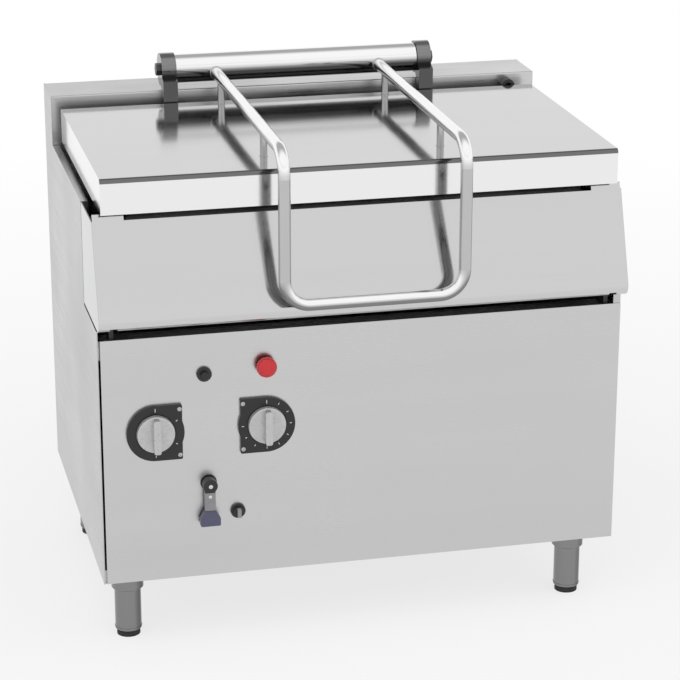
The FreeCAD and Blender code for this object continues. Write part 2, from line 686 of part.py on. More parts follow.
# Legs
def leg_places():
    """Names and axes of the four legs."""
    x = f"({HALF} - leg_inset_x)"
    for end, y in (("front", "leg_inset_y"), ("rear", "(unit_depth - leg_inset_y)")):
        yield f"left_{end}", f"0 - {x}", y
        yield f"right_{end}", x, y


def leg_sleeves():
    body = new_body("leg_sleeves")
    low, high = "leg_height - leg_sleeve_height", TRAY_Z
    circles = [(x, y, "leg_sleeve_radius") for name, x, y in leg_places()]
    bores = [(x, y, "foot_stem_radius + stem_clearance") for name, x, y in leg_places()]
    pad(body, "XY", low, high, circles=circles + bores)


def foot(name, x, y):
    body = new_body(f"{name}_foot", x, y)
    top = "(leg_height - leg_sleeve_height)"
    profile = [
        ("0", "foot_pad_height"),
        ("foot_radius - foot_edge", "foot_pad_height"),
        ("foot_radius", "foot_pad_height + foot_edge"),
        ("foot_radius", f"{top} - foot_edge"),
        ("foot_radius - foot_edge", top),
        ("foot_stem_radius", top),
        ("foot_stem_radius", f"{top} + foot_stem_length"),
        ("0", f"{top} + foot_stem_length"),
    ]
    turn(body, "XZ", profile)


def foot_pads():
    body = new_body("foot_pads")
    circles = [(x, y, "foot_radius - foot_edge") for name, x, y in leg_places()]
    pad(body, "XY", "0", "foot_pad_height", circles=circles)


# Tilting pan
def lean_point(distance, z):
    """Y of the apron's leaning line at a distance in front of the tilt axis, z above it."""
    return f"({PIVOT_Y} + (({z}) * sin(apron_lean) - ({distance})) / cos(apron_lean))"


def apron_top():
    """Height over the tilt axis where the apron's inner face meets the well's front wall."""
    reach = f"({front_wall_y(PIVOT_Z, 1)} - seat_gap - ({PIVOT_Y}))"
    return f"(({reach} + (hem_radius - sheet_wall) / cos(apron_lean)) / (tan(apron_lean) + {FRONT_SLOPE}))"


def apron():
    body = new_body("apron")
    inner = "(hem_radius - sheet_wall)"
    top = apron_top()
    profile = [
        (lean_point("hem_radius", top), f"{PIVOT_Z} + {top}"),
        (lean_point("hem_radius", "0 - hem_radius"), f"{PIVOT_Z} - hem_radius", "hem_radius"),
        (f"{PIVOT_Y} + hem_lip", f"{PIVOT_Z} - hem_radius"),
        (f"{PIVOT_Y} + hem_lip", f"{PIVOT_Z} - {inner}"),
        (lean_point(inner, f"0 - {inner}"), f"{PIVOT_Z} - {inner}", inner),
        (lean_point(inner, top), f"{PIVOT_Z} + {top}"),
    ]
    pad(body, "YZ", f"0 - {INNER}", INNER, [profile])
    # Above the cheeks the apron passes inside the lid's skirt and the rim's folded edge
    above = f"({SIDE_TOP} + apron_shoulder)"
    ends = box_outline(PIVOT_Y, "side_shoulder_depth", above, RIM_Z)
    for side in (-1, 1):
        inside_rim = f"({HALF} - rim_margin_x - 2 * sheet_wall)"
        pocket(body, "YZ", *sides(side, inside_rim, INNER), [ends])
    # Between its raised ends the apron is folded back to the well under the lid's skirt
    half = f"({HALF} - apron_end)"
    middle = box_outline(PIVOT_Y, "side_shoulder_depth", SIDE_TOP, RIM_Z)
    pocket(body, "YZ", f"0 - {half}", half, [middle])
    fold_low = f"({SIDE_TOP} - sheet_wall)"
    fold = [
        (lean_point("hem_radius", f"{fold_low} - {PIVOT_Z}"), fold_low),
        (f"{front_wall_y(fold_low, 1)} - seat_gap", fold_low),
        (f"{front_wall_y(SIDE_TOP, 1)} - seat_gap", SIDE_TOP),
        (lean_point("hem_radius", f"{SIDE_TOP} - {PIVOT_Z}"), SIDE_TOP),
    ]
    pad(body, "YZ", f"0 - {half}", half, [fold])
    back = "side_shoulder_depth - cheek_gap"
    cheek_top = f"({SIDE_TOP} - {PIVOT_Z})"
    cheek = [
        (lean_point("hem_radius", cheek_top), SIDE_TOP),
        (lean_point("hem_radius", "0 - hem_radius"), f"{PIVOT_Z} - hem_radius", "hem_radius"),
        (back, f"{PIVOT_Z} - hem_radius"),
        (back, SIDE_TOP),
    ]
    for side in (-1, 1):
        pad(body, "YZ", *sides(side, INNER, HALF), [cheek])
        notch = box_outline(
            f"{PIVOT_Y} - hem_radius + ear_clearance + ear_notch_gap",
            f"{PIVOT_Y} + hem_lip + sheet_wall",
            f"{PIVOT_Z} - hem_radius - sheet_wall",
            f"{PIVOT_Z} - hem_radius / 4",
        )
        low, high = f"{EAR_IN} - ear_notch_gap", f"{EAR_IN} + ear_wall + ear_notch_gap"
        pocket(body, "YZ", *sides(side, low, high), [notch])


def front_wall_y(z, back=0):
    """Y of the well's front wall at a height, back is 0 on the inner face, 1 on the outer."""
    outward = f"{back} * well_wall * sqrt(1 + {FRONT_SLOPE} * {FRONT_SLOPE})"
    return f"(well_front_low - ({z} - {FLOOR_OF_WELL}) * {FRONT_SLOPE} - {outward})"


def pan_walls():
    body = new_body("pan_walls")
    outer_half = f"({WELL_HALF} + well_wall)"
    rim_low = f"({RIM_Z} - well_wall)"
    outside = [
        (front_wall_y(PLATE_Z, 1), PLATE_Z),
        (f"{WELL_BACK} + well_wall", PLATE_Z),
        (f"{WELL_BACK} + well_wall", rim_low),
        (front_wall_y(rim_low, 1), rim_low),
    ]
    pad(body, "YZ", f"0 - {outer_half}", outer_half, [outside])
    rim_half = f"({HALF} - rim_margin_x)"
    rim = box_outline(f"0 - {rim_half}", rim_half, "rim_front", RIM_BACK)
    pad(body, "XY", rim_low, RIM_Z, [rim])
    edge = box_outline(
        f"0 - {rim_half} + sheet_wall",
        f"{rim_half} - sheet_wall",
        "rim_front + sheet_wall",
        f"{RIM_BACK} - sheet_wall",
    )
    pad(body, "XY", f"{RIM_Z} - rim_turndown", rim_low, [rim, edge])
    inside_low, inside_high = f"({PLATE_Z} - well_wall)", f"({RIM_Z} + well_wall)"
    inside = [
        (front_wall_y(inside_low), inside_low),
        (WELL_BACK, inside_low),
        (WELL_BACK, inside_high),
        (front_wall_y(inside_high), inside_high),
    ]
    pocket(body, "YZ", f"0 - {WELL_HALF}", WELL_HALF, [inside])
    # Pouring lip: the front of the rim is cut open and a sloping chute is welded in
    gap = box_outline("0 - lip_width / 2", "lip_width / 2", "rim_front - sheet_wall", "well_front_high")
    pocket(body, "XY", f"{RIM_Z} - rim_turndown", RIM_Z, [gap])
    lip_back = front_wall_y(rim_low)
    chute = [
        ("rim_front - sheet_wall", f"{RIM_Z} - lip_drop - well_wall"),
        (lip_back, f"{rim_low} - well_wall"),
        (lip_back, rim_low),
        ("rim_front - sheet_wall", f"{RIM_Z} - lip_drop"),
    ]
    pad(body, "YZ", "0 - lip_width / 2", "lip_width / 2", [chute])
    cheek = [
        ("rim_front - sheet_wall", f"{RIM_Z} - lip_drop - well_wall"),
        (lip_back, f"{rim_low} - well_wall"),
        (lip_back, RIM_Z),
        ("rim_front - sheet_wall", RIM_Z),
    ]
    for side in (-1, 1):
        pad(body, "YZ", *sides(side, "lip_width / 2 - well_wall", "lip_width / 2"), [cheek])


def pan_base_plate():
    body = new_body("pan_base_plate")
    outline = [
        (front_wall_y(PLATE_Z), PLATE_Z),
        (WELL_BACK, PLATE_Z),
        (WELL_BACK, FLOOR_OF_WELL),
        (front_wall_y(FLOOR_OF_WELL), FLOOR_OF_WELL),
    ]
    pad(body, "YZ", f"0 - {WELL_HALF}", WELL_HALF, [outline])


def heating_elements():
    radius, bend = value("element_radius"), value("element_bend")
    z = value(PLATE_Z) - radius
    front, back = value("element_front"), value(ELEMENT_BACK)
    half = value("element_half")
    pitch, count = value(ELEMENT_PITCH), round(value("element_count"))
    hairpins = []
    for i in range(count):
        middle = (i - (count - 1) / 2) * pitch
        run = [
            Vector(middle - half, back, z),
            Vector(middle - half, front, z),
            Vector(middle + half, front, z),
            Vector(middle + half, back, z),
        ]
        hairpins.append(swept_tube(run, bend, radius))
    add_shape("heating_elements", Part.makeCompound(hairpins))


def element_clamps():
    body = new_body("element_clamps")
    half = f"{ELEMENT_PITCH} * (element_count - 1) / 2 + element_half + clamp_width"
    top = f"({PLATE_Z} - 2 * element_radius)"
    places = ["element_front + 2 * element_half", f"{ELEMENT_BACK} - 2 * element_half"]
    for y in places:
        bar = box_outline(f"0 - ({half})", half, f"{y} - clamp_width / 2", f"{y} + clamp_width / 2")
        pad(body, "XY", f"{top} - clamp_wall", top, [bar])
        stud_places = ("0", f"{ELEMENT_PITCH} * 2", f"0 - {ELEMENT_PITCH} * 2")
        studs = [(x, y, "clamp_stud_radius") for x in stud_places]
        pad(body, "XY", top, PLATE_Z, circles=studs)


def heater_cover():
    body = new_body("heater_cover")
    bottom = f"({PLATE_Z} - cover_depth)"
    half = f"({WELL_HALF} - cover_inset)"
    back = f"({WELL_BACK} - cover_back_gap)"
    outer = box_outline(f"0 - {half}", half, "cover_front", back)
    inner = box_outline(
        f"0 - {half} + cover_wall",
        f"{half} - cover_wall",
        "cover_front + cover_wall",
        f"{back} - cover_wall",
    )
    pad(body, "XY", bottom, PLATE_Z, [outer])
    pocket(body, "XY", f"{bottom} + cover_wall", PLATE_Z, [inner])


def pivot_arm(label, side):
    body = new_body(label)
    eye = "(hem_radius - sheet_wall)"
    rim_low = f"({RIM_Z} - well_wall)"
    outline = [
        (lean_point(eye, f"{rim_low} - {PIVOT_Z}"), rim_low),
        (lean_point(eye, f"0 - {eye}"), ARM_Z, eye),
        (ARM_END, ARM_Z),
        (ARM_END, f"{ARM_Z} + arm_rear_height"),
        (f"{ARM_END} - arm_rear_height * 3", f"{ARM_Z} + arm_rear_height"),
        (f"{ARM_END} / 2", rim_low),
    ]
    pad(body, "YZ", *sides(side, ARM_IN, f"{ARM_IN} + arm_wall"), [outline])
    bosses = [
        ("well_front_low + 2 * arm_boss_radius", f"{PLATE_Z} + rim_rise / 2", "arm_boss_radius"),
        (f"{ARM_END} - 2 * arm_boss_radius", f"{PLATE_Z} + arm_boss_radius", "arm_boss_radius"),
    ]
    pad(body, "YZ", *sides(side, f"{WELL_HALF} + well_wall", ARM_IN), circles=bosses)
    bore = [(PIVOT_Y, PIVOT_Z, "pin_radius")]
    pocket(body, "YZ", *sides(side, ARM_IN, f"{ARM_IN} + arm_wall"), circles=bore)


def pivot_pins():
    body = new_body("pivot_pins")
    for side in (-1, 1):
        stem = sides(side, ARM_IN, f"{EAR_IN} + ear_wall + ear_clearance")
        pad(body, "YZ", *stem, circles=[(PIVOT_Y, PIVOT_Z, "pin_radius")])
        head = sides(side, f"{EAR_IN} + ear_wall + ear_clearance", f"{EAR_IN} + 2 * ear_wall")
        pad(body, "YZ", *head, circles=[(PIVOT_Y, PIVOT_Z, "pin_radius + bush_wall")])


# Tilt actuator
def eye_plates(body, y, z, foot_z, foot_spread):
    """Pair of plates with a round eye about (y, z) and a foot at foot_z."""
    outline = [
        (f"{y} - lug_eye_radius", z),
        (f"{y} - lug_eye_radius * {foot_spread}", foot_z),
        (f"{y} + lug_eye_radius * {foot_spread}", foot_z),
        (f"{y} + lug_eye_radius", z),
    ]
    for side in (-1, 1):
        low, high = sides(side, "lug_gap", "lug_gap + lug_wall")
        pad(body, "YZ", low, high, [outline])
        pad(body, "YZ", low, high, circles=[(y, z, "lug_eye_radius")])
    pad(body, "YZ", "0 - lug_gap", "lug_gap", circles=[(y, z, "pin_radius")])


def actuator_lug():
    body = new_body("actuator_lug")
    under = f"({PLATE_Z} - cover_depth)"
    plate = box_outline(
        "0 - (lug_gap + lug_wall) * 2",
        "(lug_gap + lug_wall) * 2",
        f"{LUG_Y} - lug_eye_radius * 2",
        f"{LUG_Y} + lug_eye_radius * 2",
    )
    pad(body, "XY", f"{under} - pin_radius / 2", under, [plate])
    eye_plates(body, LUG_Y, LUG_Z, f"({under} - pin_radius / 2)", 1)


def actuator_bracket():
    body = new_body("actuator_bracket")
    low = f"({TRAY_Z} + sheet_wall)"
    eye_plates(body, BASE_Y, BASE_Z, low, 2)
    tie = box_outline("0 - lug_gap", "lug_gap", f"{BASE_Y} - lug_eye_radius", f"{BASE_Y} + lug_eye_radius")
    pad(body, "XY", low, f"{low} + lug_wall", [tie])


def lean_actuator(body):
    """Turn a piece built upright on the base pin to the actuator's line."""
    body.Placement = Placement(Vector(), Rotation(Vector(1, 0, 0), 1))
    body.setExpression("Placement.Rotation.Angle", ex("(lug_angle + base_angle) / 2"))
    place(body, "0", BASE_Y, BASE_Z)


def actuator_body():
    body = new_body("actuator_body")
    tube_end = f"({CLOSED} - actuator_top_gap)"
    box_top = "(gearbox_start + gearbox_height)"
    eye = box_outline("0 - lug_eye_radius", "lug_eye_radius", "0", "gearbox_start")
    pad(body, "YZ", "0 - actuator_eye_half", "actuator_eye_half", [eye])
    pad(body, "YZ", "0 - actuator_eye_half", "actuator_eye_half", circles=[("0", "0", "lug_eye_radius")])
    box = box_outline(
        "0 - gearbox_half",
        "motor_offset + motor_radius",
        "0 - gearbox_half",
        "gearbox_half",
        "gearbox_half / 4",
    )
    pad(body, "XY", "gearbox_start", box_top, [box])
    rings = [("0", "0", "actuator_tube_radius"), ("0", "0", "actuator_rod_radius + pin_clearance")]
    pad(body, "XY", box_top, tube_end, circles=rings)
    pad(body, "XY", box_top, f"{box_top} + motor_length", circles=[("motor_offset", "0", "motor_radius")])
    bore = [("0", "0", "pin_radius + pin_clearance")]
    pocket(body, "YZ", "0 - actuator_eye_half", "actuator_eye_half", circles=bore)
    lean_actuator(body)


def actuator_rod():
    body = new_body("actuator_rod")
    start = "(gearbox_start + gearbox_height + seat_gap)"
    stem_end = f"({CLOSED} - lug_eye_radius)"
    pad(body, "XY", start, stem_end, circles=[("0", "0", "actuator_rod_radius")])
    # Open saddle under the lug pin: its pin seat is cut through to the top
    head = box_outline("0 - lug_eye_radius", "lug_eye_radius", stem_end, f"{CLOSED} + pin_radius / 4")
    pad(body, "YZ", "0 - actuator_eye_half", "actuator_eye_half", [head])
    seat = "(pin_radius + seat_gap)"
    slot = box_outline(f"0 - {seat}", seat, CLOSED, f"{CLOSED} + pin_radius")
    pocket(body, "YZ", "0 - actuator_eye_half", "actuator_eye_half", [slot])
    pocket(body, "YZ", "0 - actuator_eye_half", "actuator_eye_half", circles=[("0", CLOSED, seat)])
    lean_actuator(body)


# Lid and hinge
def hinge_ledge():
    body = new_body("hinge_ledge")
    top = f"({RIM_Z} - ledge_drop)"
    front = f"({WELL_BACK} + well_wall)"
    back = f"({UPSTAND_Y} - foot_gap)"
    profile = [
        (front, top),
        (front, f"{top} - ledge_height"),
        (f"{front} + well_wall", f"{top} - ledge_height"),
        (f"{front} + well_wall", f"{top} - well_wall"),
        (f"{back} - well_wall", f"{top} - well_wall"),
        (f"{back} - well_wall", f"{top} - ledge_height"),
        (back, f"{top} - ledge_height"),
        (back, top),
    ]
    half = f"({BRACKET_END} + ledge_overhang)"
    pad(body, "YZ", f"0 - {half}", half, [profile])


def hinge_bracket(label, side):
    body = new_body(label)
    inner_face = "hinge_tube_half + hinge_side_gap"
    low, high = sides(side, inner_face, f"{inner_face} + hinge_bracket_wall")
    foot_back = f"({UPSTAND_Y} - foot_gap)"
    foot_front = f"({foot_back} - bracket_foot_depth)"
    pad(body, "YZ", low, high, circles=[(HINGE_Y, HINGE_Z, "hinge_collar_radius")])
    neck = [
        (foot_front, f"{RIM_Z} - ledge_drop"),
        (foot_back, f"{RIM_Z} - ledge_drop"),
        (foot_back, f"{UPSTAND_Z} + foot_gap / 2"),
        (HINGE_Y, f"{HINGE_Z} - hinge_collar_radius / 2"),
        (HINGE_Y, HINGE_Z),
        (foot_front, f"{HINGE_Z} - hinge_collar_radius / 2"),
    ]
    pad(body, "YZ", low, high, [neck])
    pocket(body, "YZ", low, high, circles=[(HINGE_Y, HINGE_Z, "hinge_shaft_radius")])


def hinge_shaft():
    body = new_body("hinge_shaft")
    end = BRACKET_END
    pad(body, "YZ", f"0 - {end}", end, circles=[(HINGE_Y, HINGE_Z, "hinge_shaft_radius")])
    half, rise = "hinge_nut_radius / 2", "hinge_nut_radius * sqrt(3) / 2"
    nut = [
        (f"{HINGE_Y} + hinge_nut_radius", HINGE_Z),
        (f"{HINGE_Y} + {half}", f"{HINGE_Z} + {rise}"),
        (f"{HINGE_Y} - {half}", f"{HINGE_Z} + {rise}"),
        (f"{HINGE_Y} - hinge_nut_radius", HINGE_Z),
        (f"{HINGE_Y} - {half}", f"{HINGE_Z} - {rise}"),
        (f"{HINGE_Y} + {half}", f"{HINGE_Z} - {rise}"),
    ]
    for side in (-1, 1):
        pad(body, "YZ", *sides(side, end, f"{end} + hinge_nut_length"), [nut])


def hinge_tube():
    body = new_body("hinge_tube")
    rings = [
        (HINGE_Y, HINGE_Z, "hinge_tube_radius"),
        (HINGE_Y, HINGE_Z, "hinge_tube_radius - hinge_tube_wall"),
    ]
    pad(body, "YZ", "0 - hinge_tube_half", "hinge_tube_half", circles=rings)
    cap = [
        (HINGE_Y, HINGE_Z, "hinge_tube_radius - hinge_tube_wall"),
        (HINGE_Y, HINGE_Z, "hinge_shaft_radius + pin_clearance"),
    ]
    for side in (-1, 1):
        low = "hinge_tube_half - 4 * hinge_tube_wall"
        pad(body, "YZ", *sides(side, low, "hinge_tube_half"), circles=cap)


def lid_springs():
    body = new_body("lid_springs")
    inner = "(hinge_shaft_radius + hinge_side_gap)"
    rings = [(HINGE_Y, HINGE_Z, f"{inner} + spring_wall"), (HINGE_Y, HINGE_Z, inner)]
    end = "(hinge_tube_half - 4 * hinge_tube_wall)"
    for side in (-1, 1):
        pad(body, "YZ", *sides(side, f"{end} - spring_length", end), circles=rings)


def lid_shell():
    body = new_body("lid_shell")
    half = f"({HALF} - lid_inset)"
    skirt_z = f"({LID_Z} - lid_skirt)"
    rear_z = f"({LID_Z} - lid_rear_skirt)"
    inner_top = f"({LID_Z} - lid_wall)"
    section = [
        ("lid_front", skirt_z),
        ("lid_front", LID_Z, "lid_bend"),
        (LID_BACK, LID_Z, "lid_bend / 2"),
        (LID_BACK, rear_z),
        (f"{LID_BACK} - lid_wall", rear_z),
        (f"{LID_BACK} - lid_wall", inner_top),
        ("lid_front + lid_wall", inner_top, "lid_bend - lid_wall"),
        ("lid_front + lid_wall", skirt_z),
    ]
    pad(body, "YZ", f"0 - {half}", half, [section])
    outline = [
        ("lid_front", skirt_z),
        ("lid_front", LID_Z, "lid_bend"),
        (LID_BACK, LID_Z, "lid_bend / 2"),
        (LID_BACK, skirt_z),
    ]
    for side in (-1, 1):
        pad(body, "YZ", *sides(side, f"{half} - lid_wall", half), [outline])


def lid_liner():
    body = new_body("lid_liner")
    half = f"({HALF} - lid_inset - liner_inset)"
    front = "(lid_front + liner_inset)"
    back = f"({LID_BACK} - liner_inset / 2)"
    bottom = f"({RIM_Z} + seat_gap)"
    top = f"({LID_Z} - lid_wall)"
    pad(body, "XY", bottom, top, [box_outline(f"0 - {half}", half, front, back)])
    inner = box_outline(
        f"0 - {half} + liner_wall", f"{half} - liner_wall", f"{front} + liner_wall", f"{back} - liner_wall"
    )
    pocket(body, "XY", f"{bottom} + liner_wall", top, [inner])


def lid_handle():
    x, z = value("handle_half"), value(HANDLE_Z)
    hinge_y, front = value(HINGE_Y), -value("handle_reach")
    low = z - value("handle_drop")
    radius = value("handle_radius")
    points = [
        Vector(x, hinge_y, z),
        Vector(x, front, z),
        Vector(x, front, low),
        Vector(-x, front, low),
        Vector(-x, front, z),
        Vector(-x, hinge_y, z),
    ]
    tube = swept_tube(points, value("handle_bend"), radius, value("handle_wall"))
    # The arm ends are saddled to the round of the hinge tube
    hinge_end = Vector(-value(HALF), hinge_y, value(HINGE_Z))
    hinge = Part.makeCylinder(value("hinge_tube_radius"), value("unit_width"), hinge_end, Vector(1, 0, 0))
    add_shape("lid_handle", tube.cut(hinge))


def handle_posts():
    body = new_body("handle_posts")
    places = [(x, y) for x in ("handle_half", "0 - handle_half") for y in ("post_front", POST_BACK)]
    posts = [(x, y, "post_radius") for x, y in places]
    pad(body, "XY", LID_Z, f"{HANDLE_Z} - handle_radius / 2", circles=posts)
    arms = [(x, HANDLE_Z, "handle_radius") for x in ("handle_half", "0 - handle_half")]
    pocket(body, "XZ", "post_front - 2 * post_radius", f"{POST_BACK} + 2 * post_radius", circles=arms)


# Controls
def knob_bezel(label, x, square_side):
    body = new_body(label, x, "0", KNOB_Z)
    square_x = "bezel_square" if square_side > 0 else "(0 - bezel_square)"
    outline = [
        ("0", "0 - bezel_radius"),
        (square_x, "0 - bezel_radius", "bezel_corner"),
        (square_x, "bezel_radius", "bezel_corner"),
        ("0", "bezel_radius"),
    ]
    pad(body, "XZ", "0 - bezel_wall", "0", [outline])
    pad(body, "XZ", "0 - bezel_wall", "0", circles=[("0", "0", "bezel_radius")])
    pocket(body, "XZ", "0 - bezel_wall", "0", circles=[("0", "0", "spindle_radius + knob_gap")])
    # Shallow dish that the knob's rim stands over
    dish = [("0", "0", "knob_radius + knob_gap * 2")]
    pocket(body, "XZ", "0 - bezel_wall", "0 - bezel_wall / 2", circles=dish)


def knob(label, x):
    body = new_body(label, x, "0", KNOB_Z)
    back = "(0 - bezel_wall / 2 - knob_gap)"
    profile = [
        ("0", "switch_depth / 2"),
        ("spindle_radius", "switch_depth / 2"),
        ("spindle_radius", back),
        ("knob_radius - knob_gap", back),
        ("knob_radius", f"{back} - knob_gap"),
        ("knob_radius - knob_gap", f"{back} - knob_skirt"),
        ("knob_radius - 4 * knob_gap", f"{back} - knob_skirt - knob_gap"),
        ("0", f"{back} - knob_skirt - knob_gap"),
    ]
    turn(body, "XY", profile)
    grip = box_outline(
        "0 - knob_grip_width / 2",
        "knob_grip_width / 2",
        "0 - knob_radius + 3 * knob_gap",
        "knob_radius - 3 * knob_gap",
        "knob_grip_edge",
    )
    pad(body, "XZ", f"{back} - knob_skirt - knob_grip_depth", f"{back} - knob_skirt", [grip])


def rotary_switch(label, x):
    body = new_body(label, x, "0", KNOB_Z)
    square = box_outline("0 - switch_half", "switch_half", "0 - switch_half", "switch_half", "bezel_corner")
    pad(body, "XZ", "sheet_wall", "sheet_wall + switch_depth", [square])
    bore = [("0", "0", "spindle_radius + pin_clearance")]
    pocket(body, "XZ", "sheet_wall", "sheet_wall + switch_depth / 2", circles=bore)


def control_housings():
    """Collars and contact blocks of the three round devices."""
    body = new_body("control_housings")
    for x, z in ((STOP_X, STOP_Z), (START_X, START_Z), (TILT_X, TILT_Z)):
        bore = (x, z, "stem_radius + pin_clearance")
        pad(body, "XZ", "0 - collar_depth", "0", circles=[(x, z, "collar_radius"), bore])
        pad(body, "XZ", "0", "device_depth", circles=[(x, z, "device_radius"), bore])
        nut = [(x, z, "collar_radius"), (x, z, "device_radius")]
        pad(body, "XZ", "sheet_wall", "sheet_wall + collar_depth", circles=nut)


def stop_button():
    body = new_body("stop_button", STOP_X, "0", STOP_Z)
    back = "(0 - collar_depth - stop_travel - seat_gap)"
    rim = f"({back} - stop_rim)"
    profile = [
        ("0", "device_depth - stop_travel - knob_gap"),
        ("stem_radius", "device_depth - stop_travel - knob_gap"),
        ("stem_radius", back),
        ("stop_radius - knob_gap", back),
        ("stop_radius", f"{back} - knob_gap"),
        ("stop_radius", rim, "stop_round"),
        ("stop_crown_radius", f"{rim} - stop_crown", "stop_round"),
        ("0", f"{rim} - stop_crown - stop_crown_rise"),
    ]
    turn(body, "XY", profile)


def push_button():
    body = new_body("push_button", START_X, "0", START_Z)
    back = "(0 - collar_depth - start_travel - seat_gap)"
    profile = [
        ("0", "device_depth - start_travel - knob_gap"),
        ("stem_radius", "device_depth - start_travel - knob_gap"),
        ("stem_radius", back),
        ("start_radius", back),
        ("start_radius", f"{back} - collar_depth"),
        ("start_radius - knob_gap", f"{back} - collar_depth - knob_gap"),
        ("0", f"{back} - collar_depth - knob_gap"),
    ]
    turn(body, "XY", profile)


def tilt_switch():
    body = new_body("tilt_switch", TILT_X, "0", TILT_Z)
    back = "(0 - collar_depth - seat_gap)"
    profile = [
        ("0", "device_depth - knob_gap"),
        ("stem_radius", "device_depth - knob_gap"),
        ("stem_radius", back),
        ("device_radius - knob_gap", back),
        ("device_radius - knob_gap", f"{back} - collar_depth"),
        ("0", f"{back} - collar_depth"),
    ]
    turn(body, "XY", profile)
    bar = box_outline(
        "0 - tilt_bar_width / 2",
        "tilt_bar_width / 2",
        "3 * knob_gap - device_radius",
        "device_radius - 3 * knob_gap",
    )
    pad(body, "XZ", f"{back} - 3 * collar_depth", f"{back} - collar_depth", [bar])


# Water
def tap_valve():
    body = new_body("tap_valve", TAP_X, "0", TAP_Z)
    bore = ("0", "0", "tap_stem_radius + pin_clearance")
    pad(body, "XZ", "sheet_wall", "tap_depth", circles=[("0", "0", "tap_radius")])
    pocket(body, "XZ", "sheet_wall", "tap_depth / 2 - pipe_radius - knob_gap", circles=[bore])
    pad(body, "XZ", "0 - sheet_wall", "0", circles=[("0", "0", "tap_hub_radius + sheet_wall"), bore])
    boss = "(pipe_radius + 2 * pipe_wall)"
    reach = "(tap_radius + pipe_radius)"
    pad(body, "YZ", f"0 - {reach}", "0", circles=[("pipe_front", "0", boss)])
    pad(body, "XY", f"0 - {reach}", "0", circles=[("0", "pipe_front", boss)])


def tap_lever():
    body = new_body("tap_lever", TAP_X, "0", TAP_Z)
    back = "(0 - sheet_wall - seat_gap)"
    front = f"({back} - tap_hub_depth)"
    profile = [
        ("0", "tap_depth / 2 - pipe_radius - 2 * knob_gap"),
        ("tap_stem_radius", "tap_depth / 2 - pipe_radius - 2 * knob_gap"),
        ("tap_stem_radius", back),
        ("tap_hub_radius", back),
        ("tap_hub_radius", f"{front} + knob_gap"),
        ("tap_hub_radius - knob_gap", front),
        ("0", front),
    ]
    turn(body, "XY", profile)
    blade = [
        ("0 - tap_lever_half", "0"),
        ("0 - tap_lever_half", "0 - tap_lever_length"),
        ("tap_lever_half", "0 - tap_lever_length"),
        ("tap_lever_half", "0"),
    ]
    middle = f"({back} - tap_hub_depth / 2)"
    pad(body, "XZ", f"{middle} - tap_blade_wall / 2", f"{middle} + tap_blade_wall / 2", [blade])


def tap_grip():
    body = new_body("tap_grip", TAP_X, "0", TAP_Z)
    top, bottom = "(0 - tap_lever_length)", "(0 - tap_lever_length - tap_grip_length)"
    outline = [
        ("0 - tap_lever_half - knob_gap", top, "bezel_corner"),
        ("0 - tap_grip_half", f"{top} - tap_grip_length / 2"),
        ("0 - tap_grip_half", bottom, "bezel_corner"),
        ("tap_grip_half", bottom, "bezel_corner"),
        ("tap_grip_half", f"{top} - tap_grip_length / 2"),
        ("tap_lever_half + knob_gap", top, "bezel_corner"),
    ]
    middle = "(0 - sheet_wall - seat_gap - tap_hub_depth / 2)"
    pad(body, "XZ", f"{middle} - tap_grip_wall / 2", f"{middle} + tap_grip_wall / 2", [outline])


def water_inlet():
    body = new_body("water_inlet", INLET_X, "0", "inlet_height")
    inner = f"({REAR_PANEL_Y} - sheet_wall - 2 * pipe_radius)"
    profile = [
        ("pipe_radius", inner),
        ("inlet_radius + 2 * pipe_wall", inner),
        ("inlet_radius + 2 * pipe_wall", f"{REAR_PANEL_Y} - sheet_wall"),
        ("inlet_radius", f"{REAR_PANEL_Y} - sheet_wall"),
        ("inlet_radius", REAR_PANEL_Y),
        ("inlet_collar_radius", REAR_PANEL_Y),
        ("inlet_collar_radius", f"{REAR_PANEL_Y} + sheet_wall"),
        ("inlet_radius", f"{REAR_PANEL_Y} + sheet_wall"),
        ("inlet_radius", "unit_depth - pipe_wall"),
        ("inlet_radius - pipe_wall", "unit_depth"),
        ("pipe_radius", "unit_depth"),
    ]
    turn(body, "XY", profile)


def water_pipes():
    front = value("pipe_front")
    radius, wall, bend = value("pipe_radius"), value("pipe_wall"), value("pipe_bend")
    inlet_x, inlet_z = value(INLET_X), value("inlet_height")
    tap_x, tap_z = value(TAP_X), value(TAP_Z)
    reach = value("tap_radius") + radius
    supply = [
        Vector(inlet_x, value(REAR_PANEL_Y) - value("sheet_wall"), inlet_z),
        Vector(inlet_x, front, inlet_z),
        Vector(inlet_x, front, tap_z),
        Vector(tap_x - reach, front, tap_z),
    ]
    add_shape("supply_pipe", swept_tube(supply, bend, radius, wall))
    x, low, riser = value(SPOUT_X), value("spout_pipe_height"), value("unit_depth") - value("spout_riser_gap")
    top = value(SPOUT_Z)
    spout = [
        Vector(tap_x, front, tap_z - reach),
        Vector(tap_x, front, low),
        Vector(x, front, low),
        Vector(x, riser, low),
        Vector(x, riser, top),
        Vector(x, value(UPSTAND_Y), top),
    ]
    add_shape("spout_pipe", swept_tube(spout, bend, radius, wall))


def water_spout():
    body = new_body("water_spout", SPOUT_X, UPSTAND_Y, SPOUT_Z)
    profile = [
        ("pipe_radius", "0"),
        ("spout_radius", "0"),
        ("spout_radius", "0 - spout_length + knob_gap"),
        ("spout_radius - knob_gap", "0 - spout_length"),
        ("pipe_radius", "0 - spout_length"),
    ]
    turn(body, "XY", profile)


# Mains
def terminal_box():
    body = new_body("terminal_box")
    low = f"({TRAY_Z} + sheet_wall)"
    back = f"({REAR_PANEL_Y} - sheet_wall - collar_depth * 4)"
    left, right = f"{BOX_X} - box_half", f"{BOX_X} + box_half"
    base = box_outline(left, right, f"{back} - box_depth", back, "bezel_corner")
    pad(body, "XY", low, f"{low} + box_height", [base])


